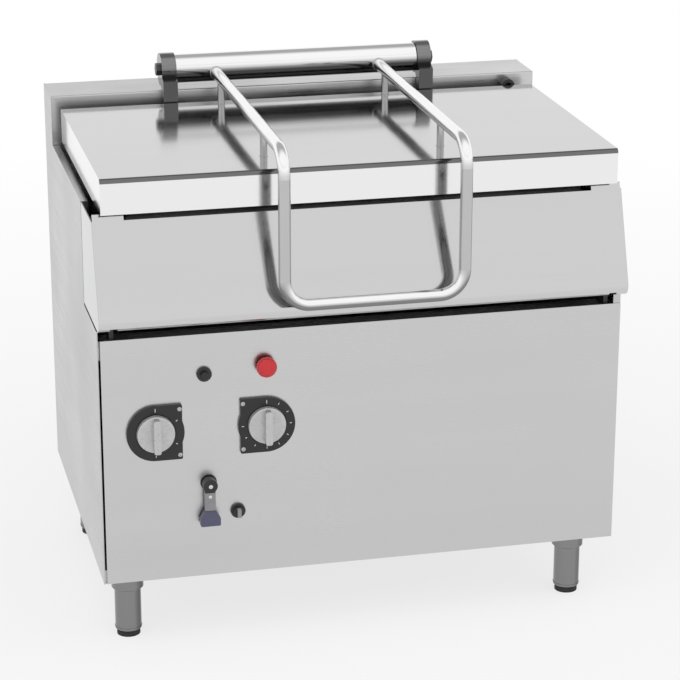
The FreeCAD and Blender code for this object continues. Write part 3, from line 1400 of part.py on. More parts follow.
def cable_gland():
    body = new_body("cable_gland", GLAND_X, "0", "gland_height")
    inner = f"({REAR_PANEL_Y} - sheet_wall)"
    profile = [
        ("gland_bore", f"{inner} - collar_depth * 4"),
        ("gland_radius + pipe_wall", f"{inner} - collar_depth * 4"),
        ("gland_radius + pipe_wall", inner),
        ("gland_radius", inner),
        ("gland_radius", "unit_depth - 2 * pipe_wall"),
        ("gland_radius - 2 * pipe_wall", "unit_depth"),
        ("gland_bore", "unit_depth"),
    ]
    turn(body, "XY", profile)


def build():
    front_panel()
    left_side_panel()
    side_panel("right_side_panel", 1, "2 * sheet_wall")
    base_tray()
    rear_panel()
    upstand_cover()
    cross_rail("front_cross_rail", "front_rail_inset", f"({PANEL_TOP} - sheet_wall)")
    cross_rail("rear_cross_rail", REAR_RAIL_Y, RAIL_TOP)
    pan_rest_pads()
    pivot_bracket("left_pivot_bracket", -1)
    pivot_bracket("right_pivot_bracket", 1)
    pivot_bushes()
    leg_sleeves()
    for name, x, y in leg_places():
        foot(name, x, y)
    foot_pads()
    apron()
    pan_walls()
    pan_base_plate()
    heating_elements()
    element_clamps()
    heater_cover()
    pivot_arm("left_pivot_arm", -1)
    pivot_arm("right_pivot_arm", 1)
    pivot_pins()
    actuator_lug()
    actuator_bracket()
    actuator_body()
    actuator_rod()
    hinge_ledge()
    hinge_bracket("left_hinge_bracket", -1)
    hinge_bracket("right_hinge_bracket", 1)
    hinge_shaft()
    hinge_tube()
    lid_springs()
    lid_shell()
    lid_liner()
    lid_handle()
    handle_posts()
    knob_bezel("left_knob_bezel", LEFT_KNOB_X, 1)
    knob_bezel("right_knob_bezel", RIGHT_KNOB_X, -1)
    knob("left_knob", LEFT_KNOB_X)
    knob("right_knob", RIGHT_KNOB_X)
    rotary_switch("heat_selector", LEFT_KNOB_X)
    rotary_switch("thermostat", RIGHT_KNOB_X)
    control_housings()
    stop_button()
    push_button()
    tilt_switch()
    tap_valve()
    tap_lever()
    tap_grip()
    water_inlet()
    water_pipes()
    water_spout()
    terminal_box()
    cable_gland()


def write_parts():
    """Check every object of the document, then write one file per sub-part."""
    doc.recompute()
    for obj in doc.Objects:
        if "Invalid" in obj.State or "Error" in obj.State:
            raise RuntimeError(f"{obj.Label} failed: {obj.State}")
    os.makedirs("parts", exist_ok=True)
    for part in parts:
        if part.Shape.isNull() or not part.Shape.isValid():
            raise RuntimeError(f"{part.Label} has no valid shape")
    for part in parts:
        part.Shape.exportStep(f"parts/{part.Label}.step")
    print(f"{len(parts)} parts written")


build()
write_parts()
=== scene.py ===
import json
import math

import bmesh
import bpy
from mathutils import Matrix, Vector


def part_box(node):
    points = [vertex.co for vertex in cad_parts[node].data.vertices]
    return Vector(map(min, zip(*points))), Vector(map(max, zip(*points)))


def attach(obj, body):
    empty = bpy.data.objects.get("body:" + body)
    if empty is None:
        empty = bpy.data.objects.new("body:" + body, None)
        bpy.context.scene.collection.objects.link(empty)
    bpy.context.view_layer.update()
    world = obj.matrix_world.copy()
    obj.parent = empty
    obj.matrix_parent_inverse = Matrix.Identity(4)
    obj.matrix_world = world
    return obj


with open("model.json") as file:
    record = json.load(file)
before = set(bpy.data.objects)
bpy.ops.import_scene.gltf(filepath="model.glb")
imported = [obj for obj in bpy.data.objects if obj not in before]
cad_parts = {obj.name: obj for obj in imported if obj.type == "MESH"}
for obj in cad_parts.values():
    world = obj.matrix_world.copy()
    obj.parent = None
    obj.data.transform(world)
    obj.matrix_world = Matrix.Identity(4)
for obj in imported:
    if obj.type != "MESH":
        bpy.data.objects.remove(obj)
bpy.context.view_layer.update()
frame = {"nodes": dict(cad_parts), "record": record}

# Tilting bratt pan. Lengths are in metres. X runs across, Y to the back, Z up.

WHITE = (1, 1, 1, 1)


# Shader building
def node_tree(name):
    """New material with only a Principled shader, its tree and that shader."""
    material = bpy.data.materials.new(name)
    material.use_nodes = True
    tree = material.node_tree
    return material, tree, tree.nodes["Principled BSDF"]


def add_node(tree, kind, **settings):
    node = tree.nodes.new(kind)
    for key, setting in settings.items():
        setattr(node, key, setting)
    return node


def object_coordinates(tree, stretch=(1, 1, 1)):
    """Coordinates in metres on the object, each multiplied by its stretch."""
    source = add_node(tree, "ShaderNodeTexCoord")
    mapping = add_node(tree, "ShaderNodeMapping")
    mapping.inputs["Scale"].default_value = stretch
    tree.links.new(source.outputs["Object"], mapping.inputs["Vector"])
    return mapping.outputs["Vector"]


def noise(tree, scale, detail=3.0, roughness=0.5, stretch=(1, 1, 1), distortion=0.0):
    """Noise value from 0 to 1, with features of about 1 / scale metres."""
    texture = add_node(tree, "ShaderNodeTexNoise")
    texture.inputs["Scale"].default_value = scale
    texture.inputs["Detail"].default_value = detail
    texture.inputs["Roughness"].default_value = roughness
    texture.inputs["Distortion"].default_value = distortion
    tree.links.new(object_coordinates(tree, stretch), texture.inputs["Vector"])
    return texture.outputs["Fac"]


def spread(tree, source, low, high, start=0.3, end=0.7):
    """Source values from start to end, spread over low to high."""
    node = add_node(tree, "ShaderNodeMapRange")
    node.inputs["From Min"].default_value = start
    node.inputs["From Max"].default_value = end
    node.inputs["To Min"].default_value = low
    node.inputs["To Max"].default_value = high
    tree.links.new(source, node.inputs["Value"])
    return node.outputs["Result"]


def arithmetic(tree, operation, first, second):
    """Math node on sockets or plain numbers."""
    node = add_node(tree, "ShaderNodeMath", operation=operation)
    for index, item in enumerate((first, second)):
        if isinstance(item, (int, float)):
            node.inputs[index].default_value = item
        else:
            tree.links.new(item, node.inputs[index])
    return node.outputs["Value"]


def blend_colors(tree, factor, first, second, blend_type="MIX"):
    """Mix of two colours or colour sockets by a factor socket."""
    node = add_node(tree, "ShaderNodeMix", data_type="RGBA", blend_type=blend_type)
    tree.links.new(factor, node.inputs["Factor"])
    for key, item in (("A", first), ("B", second)):
        socket = next(s for s in node.inputs if s.name == key and s.type == "RGBA")
        if isinstance(item, tuple):
            socket.default_value = item if len(item) == 4 else (*item, 1)
        else:
            tree.links.new(item, socket)
    return next(s for s in node.outputs if s.type == "RGBA")


def add_bump(tree, shader, height, strength, distance):
    bump = add_node(tree, "ShaderNodeBump")
    bump.inputs["Strength"].default_value = strength
    bump.inputs["Distance"].default_value = distance
    tree.links.new(height, bump.inputs["Height"])
    tree.links.new(bump.outputs["Normal"], shader.inputs["Normal"])
    return bump


def position_axis(tree, axis):
    """One coordinate of the surface point, in metres."""
    source = add_node(tree, "ShaderNodeTexCoord")
    split = add_node(tree, "ShaderNodeSeparateXYZ")
    tree.links.new(source.outputs["Object"], split.inputs["Vector"])
    return split.outputs[axis]


def surface_normal(tree, axis):
    """One part of the surface normal on the object, from -1 to 1."""
    source = add_node(tree, "ShaderNodeTexCoord")
    split = add_node(tree, "ShaderNodeSeparateXYZ")
    tree.links.new(source.outputs["Normal"], split.inputs["Vector"])
    return split.outputs[axis]


def above(tree, source, limit, soft):
    """0 below the limit and 1 above it, with a soft step."""
    return spread(tree, source, 0.0, 1.0, limit - soft, limit + soft)


def tint(tree, shader, mask, shade):
    """Lay a shade over the base colour where the mask is 1."""
    under = shader.inputs["Base Color"].links[0].from_socket
    tree.links.new(blend_colors(tree, mask, under, shade), shader.inputs["Base Color"])


# Finishes
def grain_stretch(grain_axis, along, across):
    """Stretch of the coordinates for a grain that runs along one axis."""
    stretch = [across] * 3
    stretch["XYZ".index(grain_axis)] = along
    return tuple(stretch)


def brushed_steel(name, grain_axis, shade, roughness, waviness=0.0):
    """Stainless sheet with fine grain along one axis, faint broad streaks and handling marks."""
    material, tree, shader = node_tree(name)
    shader.inputs["Metallic"].default_value = 1.0
    fine = noise(tree, 1.0, 4.0, 0.65, grain_stretch(grain_axis, 2.0, 260.0))
    broad = noise(tree, 1.0, 2.0, 0.5, grain_stretch(grain_axis, 1.2, 14.0))
    cloud = noise(tree, 2.3, 3.0, 0.55)
    dark = tuple(c * 0.982 for c in shade)
    light = tuple(min(1.0, c * 1.015) for c in shade)
    fine_part = arithmetic(tree, "MULTIPLY", fine, 0.35)
    broad_part = arithmetic(tree, "MULTIPLY", broad, 0.65)
    mottled = spread(tree, arithmetic(tree, "ADD", fine_part, broad_part), 0.0, 1.0)
    tree.links.new(blend_colors(tree, mottled, dark, light), shader.inputs["Base Color"])
    grain_roughness = spread(tree, fine, roughness * 0.82, roughness * 1.18)
    patch_roughness = spread(tree, cloud, -0.25 * roughness, 0.25 * roughness)
    tree.links.new(arithmetic(tree, "ADD", grain_roughness, patch_roughness), shader.inputs["Roughness"])
    bump = add_bump(tree, shader, fine, 0.07, 0.00006)
    if waviness:
        wave = add_bump(tree, shader, noise(tree, 3.2, 2.0, 0.4), waviness, 0.004)
        tree.links.new(bump.outputs["Normal"], wave.inputs["Normal"])
    return material


def lid_steel(name, shade, skirt_painted_light, roughness):
    """Lid sheet with painted light and shade: its skirt is painted brighter than its top, a painted
    reflection, and the folded front edge is painted dark over the width of its bend, painted shade.
    """
    material = brushed_steel(name, "X", shade, roughness, 0.05)
    tree = material.node_tree
    shader = tree.nodes["Principled BSDF"]
    flat = add_node(tree, "ShaderNodeMath", operation="ABSOLUTE")
    tree.links.new(surface_normal(tree, "Z"), flat.inputs[0])
    # Painted reflection: the upright skirt is painted brighter than the flat top
    tint(tree, shader, spread(tree, flat.outputs["Value"], 1.0, 0.0, 0.3, 0.7), skirt_painted_light)
    low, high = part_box("lid_shell")
    # Painted shade: the folded front edge is painted dark over the width of its bend
    bend = 0.008
    front = above(tree, arithmetic(tree, "MULTIPLY", position_axis(tree, "Y"), -1.0), -low.y - bend, 0.0004)
    top = above(tree, position_axis(tree, "Z"), high.z - bend, 0.0004)
    mask = arithmetic(tree, "MULTIPLY", front, top)
    tint(tree, shader, mask, (0.17, 0.17, 0.175))
    return material


def tube_steel(name, shade, roughness, painted_shade_colour, painted_shade_side=None):
    """Polished round tube, painted dark underneath and, where a side axis is given, on the side its normal
    points to: painted shade.
    """
    material = brushed_steel(name, "X", shade, roughness)
    tree = material.node_tree
    shader = tree.nodes["Principled BSDF"]
    down = arithmetic(tree, "MULTIPLY", surface_normal(tree, "Z"), -1.0)
    mask = spread(tree, down, 0.0, 0.95, -0.3, 0.2)
    if painted_shade_side is not None:
        back = spread(tree, surface_normal(tree, painted_shade_side), 0.0, 0.85, 0.3, 0.7)
        mask = arithmetic(tree, "MAXIMUM", mask, back)
    # Painted shade: darker underneath and on the given side
    tint(tree, shader, mask, painted_shade_colour)
    return material


def leg_steel(name, shade, roughness):
    """Round leg tube, painted dark on its +X side: painted shade."""
    material = brushed_steel(name, "Z", shade, roughness)
    tree = material.node_tree
    shader = tree.nodes["Principled BSDF"]
    mask = spread(tree, surface_normal(tree, "X"), 0.0, 0.75, 0.35, 0.8)
    # Painted shade: the +X side of each leg is painted dark
    tint(tree, shader, mask, (0.07, 0.07, 0.07))
    return material


def apron_steel(name, shade, roughness):
    """Polished apron with painted shade: its cheeks at the ends are painted darker and its upward-facing fold
    under the lid's skirt is painted dark.
    """
    material = brushed_steel(name, "X", shade, roughness, 0.05)
    tree = material.node_tree
    shader = tree.nodes["Principled BSDF"]
    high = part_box("apron")[1]
    side = add_node(tree, "ShaderNodeMath", operation="ABSOLUTE")
    tree.links.new(position_axis(tree, "X"), side.inputs[0])
    # Painted shade: the cheeks at the ends are painted darker
    cheek_painted_shade = above(tree, side.outputs["Value"], high.x - 0.0006, 0.0003)
    tint(tree, shader, cheek_painted_shade, (0.5, 0.505, 0.51))
    # Painted shade: the upward-facing fold under the lid's skirt is painted dark
    fold_painted_shade = above(tree, surface_normal(tree, "Z"), 0.8, 0.05)
    tint(tree, shader, fold_painted_shade, (0.1, 0.1, 0.105))
    return material


def lever_steel(name):
    """Satin grey lever with a black hub."""
    material = cast_metal(name, (0.3, 0.3, 0.31), 0.3)
    tree = material.node_tree
    shader = tree.nodes["Principled BSDF"]
    hub_height = 0.029
    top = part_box("tap_lever")[1].z
    hub = above(tree, position_axis(tree, "Z"), top - hub_height, 0.0005)
    tint(tree, shader, hub, (0.012, 0.012, 0.013))
    tree.links.new(spread(tree, hub, 1.0, 0.0, 0.0, 1.0), shader.inputs["Metallic"])
    return material


def valve_brass(name):
    """Brass valve with a black lock nut in front of the panel."""
    material = cast_metal(name, (0.7, 0.52, 0.24), 0.26)
    tree = material.node_tree
    shader = tree.nodes["Principled BSDF"]
    panel_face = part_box("front_panel")[0].y
    nut = spread(tree, position_axis(tree, "Y"), 1.0, 0.0, panel_face - 0.0003, panel_face)
    tint(tree, shader, nut, (0.012, 0.012, 0.013))
    tree.links.new(spread(tree, nut, 1.0, 0.0, 0.0, 1.0), shader.inputs["Metallic"])
    return material


def switch_plastic(name):
    """Black switch with a grey bar."""
    material = moulded_plastic(name, (0.022, 0.022, 0.024), 0.4)
    tree = material.node_tree
    shader = tree.nodes["Principled BSDF"]
    front = arithmetic(tree, "MULTIPLY", position_axis(tree, "Y"), -1.0)
    bar_height = 0.0095
    bar = above(tree, front, -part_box("tilt_switch")[0].y - bar_height, 0.0002)
    tint(tree, shader, bar, (0.3, 0.3, 0.31))
    return material


def zinc_plated(name, shade):
    """Galvanised sheet steel with large faint crystals."""
    material, tree, shader = node_tree(name)
    shader.inputs["Metallic"].default_value = 1.0
    crystals = add_node(tree, "ShaderNodeTexVoronoi")
    crystals.inputs["Scale"].default_value = 55.0
    tree.links.new(object_coordinates(tree), crystals.inputs["Vector"])
    grey = add_node(tree, "ShaderNodeSeparateColor")
    tree.links.new(crystals.outputs["Color"], grey.inputs["Color"])
    dark = tuple(c * 0.8 for c in shade)
    tree.links.new(blend_colors(tree, grey.outputs["Red"], dark, shade), shader.inputs["Base Color"])
    tree.links.new(spread(tree, grey.outputs["Green"], 0.32, 0.5, 0.0, 1.0), shader.inputs["Roughness"])
    add_bump(tree, shader, noise(tree, 700.0), 0.1, 0.0001)
    return material


def moulded_plastic(name, shade, roughness, speckle=0.06):
    """Moulded plastic with a fine eroded skin and slightly polished patches."""
    material, tree, shader = node_tree(name)
    shader.inputs["IOR"].default_value = 1.5
    skin = noise(tree, 1800.0, 2.0, 0.6)
    cloud = noise(tree, 60.0, 3.0, 0.5)
    dark = tuple(c * (1 - speckle) for c in shade)
    light = tuple(min(1.0, c * (1 + speckle) + speckle * 0.02) for c in shade)
    patches = spread(tree, cloud, 0.0, 1.0)
    tree.links.new(blend_colors(tree, patches, dark, light), shader.inputs["Base Color"])
    tree.links.new(spread(tree, cloud, roughness * 0.85, roughness * 1.2), shader.inputs["Roughness"])
    add_bump(tree, shader, skin, 0.15, 0.00008)
    return material


def cast_metal(name, shade, roughness, grain=900.0, metallic=1.0):
    """Plated or cast metal with a soft uneven sheen."""
    material, tree, shader = node_tree(name)
    shader.inputs["Metallic"].default_value = metallic
    cloud = noise(tree, 90.0, 3.0, 0.55)
    dark = tuple(c * 0.88 for c in shade)
    patches = spread(tree, cloud, 0.0, 1.0)
    tree.links.new(blend_colors(tree, patches, dark, shade), shader.inputs["Base Color"])
    tree.links.new(spread(tree, cloud, roughness * 0.8, roughness * 1.25), shader.inputs["Roughness"])
    add_bump(tree, shader, noise(tree, grain, 2.0), 0.08, 0.00005)
    return material


def heated_plate(name):
    """Cooking surface: ground steel with faint straw-brown heat tint and fine scratches."""
    material, tree, shader = node_tree(name)
    shader.inputs["Metallic"].default_value = 1.0
    scratches = noise(tree, 1.0, 5.0, 0.7, (420.0, 9.0, 9.0), 0.3)
    heat = noise(tree, 5.0, 4.0, 0.6)
    steel = blend_colors(tree, spread(tree, scratches, 0.0, 1.0), (0.5, 0.5, 0.5), (0.62, 0.62, 0.61))
    warm = blend_colors(tree, spread(tree, heat, 0.0, 0.5), steel, (0.58, 0.5, 0.39))
    tree.links.new(warm, shader.inputs["Base Color"])
    tree.links.new(spread(tree, heat, 0.3, 0.42), shader.inputs["Roughness"])
    add_bump(tree, shader, scratches, 0.12, 0.00008)
    return material


# Greys are linear; the photograph's stainless steel is neutral
# Lighter and darker greys of the one stainless steel are painted light and painted shade: the tube and handle
# are painted near white, the legs and hinge brackets painted dark, and the side panels a little darker than
# the front
SATIN = (0.6, 0.6, 0.6)
SIDE_SATIN = (0.55, 0.55, 0.55)
APRON = (0.615, 0.615, 0.615)
LID = (0.58, 0.58, 0.58)
SKIRT_PAINTED_LIGHT = (0.83, 0.83, 0.83)
TUBE = (0.92, 0.92, 0.92)
HANDLE = (0.93, 0.93, 0.93)
INSIDE = (0.5, 0.5, 0.5)
LEG = (0.25, 0.25, 0.25)
BRACKET = (0.24, 0.24, 0.24)
PAINTED_UNDERSIDE_SHADE = (0.05, 0.05, 0.052)

finishes = {
    "satin_across": brushed_steel("satin_steel_across", "X", SATIN, 0.33),
    "satin_side": brushed_steel("satin_steel_side", "Y", SIDE_SATIN, 0.34),
    "satin_inside": brushed_steel("sheet_steel_inside", "X", INSIDE, 0.36),
    "apron": apron_steel("polished_steel_apron", APRON, 0.1),
    "lid": lid_steel("bright_steel_lid", LID, SKIRT_PAINTED_LIGHT, 0.1),
    "well": brushed_steel("satin_steel_well", "X", SATIN, 0.28),
    # The tube, handle and hinge bracket finishes carry painted shade underneath, and the handle also on its
    # back
    "tube": tube_steel("polished_steel_tube", TUBE, 0.1, PAINTED_UNDERSIDE_SHADE),
    "handle": tube_steel("polished_steel_handle", HANDLE, 0.17, (0.2, 0.2, 0.2), "Y"),
    "leg": leg_steel("polished_steel_leg", LEG, 0.12),
    "zinc": zinc_plated("zinc_plated_steel", (0.5, 0.505, 0.5)),
    "plate": heated_plate("cooking_surface_steel"),
    "black": moulded_plastic("black_plastic", (0.022, 0.022, 0.024), 0.42),
    "bezel": moulded_plastic("black_bezel", (0.01, 0.01, 0.011), 0.3),
    "rubber": moulded_plastic("black_rubber", (0.02, 0.02, 0.02), 0.7, 0.2),
    "red": moulded_plastic("red_plastic", (0.62, 0.022, 0.03), 0.28),
    "knob": cast_metal("silver_knob", (0.58, 0.58, 0.58), 0.3, metallic=0.45),
    "chrome": cast_metal("chrome_plating", (0.75, 0.755, 0.77), 0.09),
    "bracket": tube_steel("polished_steel_bracket", BRACKET, 0.08, PAINTED_UNDERSIDE_SHADE),
    "lever": lever_steel("tap_lever_steel"),
    "valve": valve_brass("valve_brass"),
    "switch": switch_plastic("tilt_switch_plastic"),
    "print_white": moulded_plastic("white_print", (0.8, 0.8, 0.8), 0.5),
    "bronze": cast_metal("sintered_bronze", (0.52, 0.36, 0.2), 0.42),
    "brass": cast_metal("brass", (0.7, 0.52, 0.24), 0.26),
    "spring": cast_metal("black_spring_steel", (0.12, 0.12, 0.125), 0.4),
    "element": cast_metal("heating_element_sheath", (0.2, 0.19, 0.18), 0.5),
    "motor": moulded_plastic("grey_enamel", (0.25, 0.26, 0.27), 0.35),
    "black_paint_and_shade": moulded_plastic("black_paint_and_painted_shade", (0.03, 0.03, 0.032), 0.45),
    "enclosure": moulded_plastic("light_grey_plastic", (0.45, 0.46, 0.46), 0.45),
    "weld": cast_metal("weld_bead", (0.55, 0.55, 0.54), 0.32, 400.0),
    "bright_screw": cast_metal("bright_screw", (0.72, 0.725, 0.73), 0.22),
    "grip": moulded_plastic("blue_grey_plastic", (0.085, 0.085, 0.15), 0.35),
}

NODE_FINISHES = {
    "satin_across": ["front_panel", "upstand_cover"],
    "satin_side": ["left_side_panel", "right_side_panel"],
    "satin_inside": ["base_tray", "rear_panel", "heater_cover", "lid_liner", "hinge_ledge", "supply_pipe",
                     "spout_pipe"],
    "zinc": ["front_cross_rail", "rear_cross_rail", "actuator_bracket", "actuator_lug", "element_clamps"],
    # Painted shade: the stainless pivot brackets are made black so they sink into the dark gap under the
    # apron
    "black_paint_and_shade": ["left_pivot_bracket", "right_pivot_bracket"],
    "enclosure": ["terminal_box"],
    "rubber": ["pan_rest_pads", "foot_pads"],
    "bronze": ["pivot_bushes"],
    "leg": ["leg_sleeves", "left_front_foot", "right_front_foot", "left_rear_foot", "right_rear_foot"],
    "apron": ["apron"],
    "well": ["pan_walls", "left_pivot_arm", "right_pivot_arm"],
    "plate": ["pan_base_plate"],
    "element": ["heating_elements"],
    "chrome": ["pivot_pins", "actuator_rod"],
    "lever": ["tap_lever"],
    "switch": ["tilt_switch"],
    "motor": ["actuator_body"],
    "bracket": ["left_hinge_bracket", "right_hinge_bracket"],
    "spring": ["lid_springs", "hinge_shaft"],
    "lid": ["lid_shell"],
    "tube": ["hinge_tube"],
    "handle": ["lid_handle", "handle_posts"],
    "bezel": ["left_knob_bezel", "right_knob_bezel", "push_button"],
    "black": ["heat_selector", "thermostat", "control_housings", "cable_gland", "water_spout"],
    "knob": ["left_knob", "right_knob"],
    "red": ["stop_button"],
    "brass": ["water_inlet"],
    "valve": ["tap_valve"],
    "grip": ["tap_grip"],
}


def dress_nodes():
    """Give every construction piece its finish."""
    for finish, nodes in NODE_FINISHES.items():
        for node in nodes:
            piece = frame["nodes"][node]
            piece.data.materials.clear()
            piece.data.materials.append(finishes[finish])


# Surroundings
def background_rays(tree):
    """1 for the rays that show the background: to the camera, in metal and through glass."""
    rays = add_node(tree, "ShaderNodeLightPath")
    glossy = arithmetic(tree, "MAXIMUM", rays.outputs["Is Camera Ray"], rays.outputs["Is Glossy Ray"])
    return arithmetic(tree, "MAXIMUM", glossy, rays.outputs["Is Transmission Ray"])


def white_floor():
    """Pale floor that shows nearly white to the camera and keeps a soft shadow."""
    bpy.ops.mesh.primitive_plane_add(size=10)
    floor = bpy.context.object
    floor.name = "floor"
    material, tree, shader = node_tree("pale_floor")
    shader.inputs["Base Color"].default_value = (0.9, 0.9, 0.9, 1)
    shader.inputs["Roughness"].default_value = 1.0
    shader.inputs["Specular IOR Level"].default_value = 0.0
    glow = add_node(tree, "ShaderNodeEmission")
    mix = add_node(tree, "ShaderNodeMixShader")
    place = add_node(tree, "ShaderNodeTexCoord")
    distance = add_node(tree, "ShaderNodeVectorMath", operation="LENGTH")
    tree.links.new(place.outputs["Object"], distance.inputs[0])
    share = spread(tree, distance.outputs["Value"], 0.72, 1.0, 0.9, 3.5)
    seen = arithmetic(tree, "MULTIPLY", background_rays(tree), share)
    tree.links.new(seen, mix.inputs["Fac"])
    tree.links.new(shader.outputs["BSDF"], mix.inputs[1])
    tree.links.new(glow.outputs["Emission"], mix.inputs[2])
    tree.links.new(mix.outputs["Shader"], tree.nodes["Material Output"].inputs["Surface"])
    floor.data.materials.append(material)


def studio_world():
    """Soft studio: white walls, a light ceiling in front and a dim one behind."""
    world = bpy.data.worlds.new("studio")
    bpy.context.scene.world = world
    world.use_nodes = True
    tree = world.node_tree
    background = tree.nodes["Background"]
    direction = add_node(tree, "ShaderNodeTexCoord")
    split = add_node(tree, "ShaderNodeSeparateXYZ")
    tree.links.new(direction.outputs["Generated"], split.inputs["Vector"])
    wall = spread(tree, split.outputs["X"], 0.52, 0.82, 0.05, 0.35)
    height = split.outputs["Z"]
    ceiling = add_node(tree, "ShaderNodeMix", data_type="FLOAT")
    tree.links.new(spread(tree, height, 0.0, 1.0, 0.42, 0.6), ceiling.inputs["Factor"])
    tree.links.new(wall, ceiling.inputs["A"])
    ceiling.inputs["B"].default_value = 1.0
    behind = spread(tree, split.outputs["Y"], 0.0, 1.0, -0.1, 0.3)
    overhead = arithmetic(tree, "MULTIPLY", behind, spread(tree, height, 0.0, 1.0, 0.45, 0.6))
    room = add_node(tree, "ShaderNodeMix", data_type="FLOAT")
    tree.links.new(overhead, room.inputs["Factor"])
    tree.links.new(ceiling.outputs["Result"], room.inputs["A"])
    room.inputs["B"].default_value = 0.42
    grey = add_node(tree, "ShaderNodeCombineColor")
    for channel in ("Red", "Green", "Blue"):
        tree.links.new(room.outputs["Result"], grey.inputs[channel])
    low = spread(tree, height, 1.0, 0.0, 0.42, 0.6)
    plain = arithmetic(tree, "MULTIPLY", background_rays(tree), low)
    shown = blend_colors(tree, plain, grey.outputs["Color"], WHITE)
    tree.links.new(shown, background.inputs["Color"])
    background.inputs["Strength"].default_value = 1.0


def softbox(name, place, target, width, height, power):
    light = bpy.data.lights.new(name, "AREA")
    light.shape = "RECTANGLE"
    light.size = width
    light.size_y = height
    light.energy = power
    lamp = bpy.data.objects.new(name, light)
    bpy.context.scene.collection.objects.link(lamp)
    lamp.location = place
    lamp.rotation_euler = (Vector(target) - Vector(place)).to_track_quat("-Z", "Y").to_euler()
    # The white walls and ceiling are what metal mirrors; the lamp on top of them would clip
    lamp.visible_glossy = False


def camera():
    """Camera of the photograph: place, aim and focal length fitted to the cabinet's corners."""
    focal_pixels = 2465.0
    picture_width = 680.0
    sensor = 36.0
    data = bpy.data.cameras.new("camera")
    data.sensor_width = sensor
    data.lens = focal_pixels / picture_width * sensor
    data.clip_end = 200
    eye = bpy.data.objects.new("camera", data)
    bpy.context.scene.collection.objects.link(eye)
    yaw, pitch, roll = (math.radians(angle) for angle in (13.32, 19.08, 0.08))
    tilt = Matrix.Rotation(math.pi / 2 - pitch, 4, "X") @ Matrix.Rotation(roll, 4, "Z")
    eye.matrix_world = Matrix.Translation((-1.042, -4.506, 2.093)) @ Matrix.Rotation(-yaw, 4, "Z") @ tilt
    bpy.context.scene.camera = eye


# Mesh helpers
def new_piece(name, mesh, finish, body):
    piece = bpy.data.objects.new(name, mesh)
    bpy.context.scene.collection.objects.link(piece)
    mesh.materials.clear()
    mesh.materials.append(finishes[finish])
    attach(piece, body)
    return piece


def lathe(profile, steps=48):
    """Mesh turned about the Z axis from (radius, height) points; a radius of 0 closes it."""
    mesh = bpy.data.meshes.new("turned")
    shape = bmesh.new()
    rings = []
    for radius, height in profile:
        if radius < 1e-7:
            rings.append([shape.verts.new((0, 0, height))])
            continue
        ring = []
        for i in range(steps):
            angle = 2 * math.pi * i / steps
            ring.append(shape.verts.new((radius * math.cos(angle), radius * math.sin(angle), height)))
        rings.append(ring)
    for lower, upper in zip(rings, rings[1:]):
        for i in range(steps):
            j = (i + 1) % steps
            if len(lower) == 1:
                corners = (lower[0], upper[j], upper[i])
            elif len(upper) == 1:
                corners = (lower[i], lower[j], upper[0])
            else:
                corners = (lower[i], lower[j], upper[j], upper[i])
            shape.faces.new(corners)
    bmesh.ops.recalc_face_normals(shape, faces=shape.faces)
    shape.to_mesh(mesh)
    shape.free()
    smooth_by_angle(mesh)
    return mesh


def smooth_by_angle(mesh, angle=math.radians(32)):
    mesh.shade_smooth()
    mesh.set_sharp_from_angle(angle=angle)


def box_mesh(low, high, bevel):
    """Box between two corners with rounded edges."""
    shape = bmesh.new()
    bmesh.ops.create_cube(shape, size=1)
    size = Vector(high) - Vector(low)
    middle = (Vector(high) + Vector(low)) / 2
    bmesh.ops.transform(shape, matrix=Matrix.Diagonal((*size, 1)), verts=shape.verts)
    bmesh.ops.translate(shape, vec=middle, verts=shape.verts)
    bmesh.ops.bevel(shape, geom=shape.edges[:], offset=bevel, segments=3, affect="EDGES", profile=0.7)
    mesh = bpy.data.meshes.new("bevelled")
    shape.to_mesh(mesh)
    shape.free()
    smooth_by_angle(mesh)
    return mesh


def cut_mesh(mesh, cutter):
    """Mesh with the cutter's volume taken out."""
    keep = bpy.data.objects.new("keep", mesh)
    tool = bpy.data.objects.new("tool", cutter)
    for obj in (keep, tool):
        bpy.context.scene.collection.objects.link(obj)
    cut = keep.modifiers.new("cut", "BOOLEAN")
    cut.operation = "DIFFERENCE"
    cut.solver = "EXACT"
    cut.object = tool
    result = bpy.data.meshes.new_from_object(keep.evaluated_get(bpy.context.evaluated_depsgraph_get()))
    for obj in (keep, tool):
        bpy.data.objects.remove(obj)
    smooth_by_angle(result)
    return result


# Screws
def screw_mesh(radius):
    """Pan head screw standing on the XY plane, with a cross recess."""
    head = lathe([
        (0, 0),
        (radius * 0.94, 0),
        (radius, radius * 0.12),
        (radius * 0.92, radius * 0.38),
        (radius * 0.66, radius * 0.58),
        (0, radius * 0.66),
    ], 28)
    blade, half = radius * 0.62, radius * 0.13
    depth = (radius * 0.3, radius * 0.8)
    for across in ((blade, half), (half, blade)):
        slot = box_mesh((-across[0], -across[1], depth[0]), (across[0], across[1], depth[1]), radius * 0.03)
        head = cut_mesh(head, slot)
    return head


FACING = {
    "front": Matrix.Rotation(math.pi / 2, 4, "X"),
    "back": Matrix.Rotation(-math.pi / 2, 4, "X"),
    "up": Matrix.Identity(4),
}


def set_piece(name, mesh, finish, body, place, facing="up", turn=0.0):
    """Piece built along Z, set at a place and turned to face a side."""
    piece = bpy.data.objects.new(name, mesh)
    bpy.context.scene.collection.objects.link(piece)
    piece.matrix_world = Matrix.Translation(place) @ FACING[facing] @ Matrix.Rotation(turn, 4, "Z")
    if not mesh.materials:
        mesh.materials.append(finishes[finish])
    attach(piece, body)
    return piece


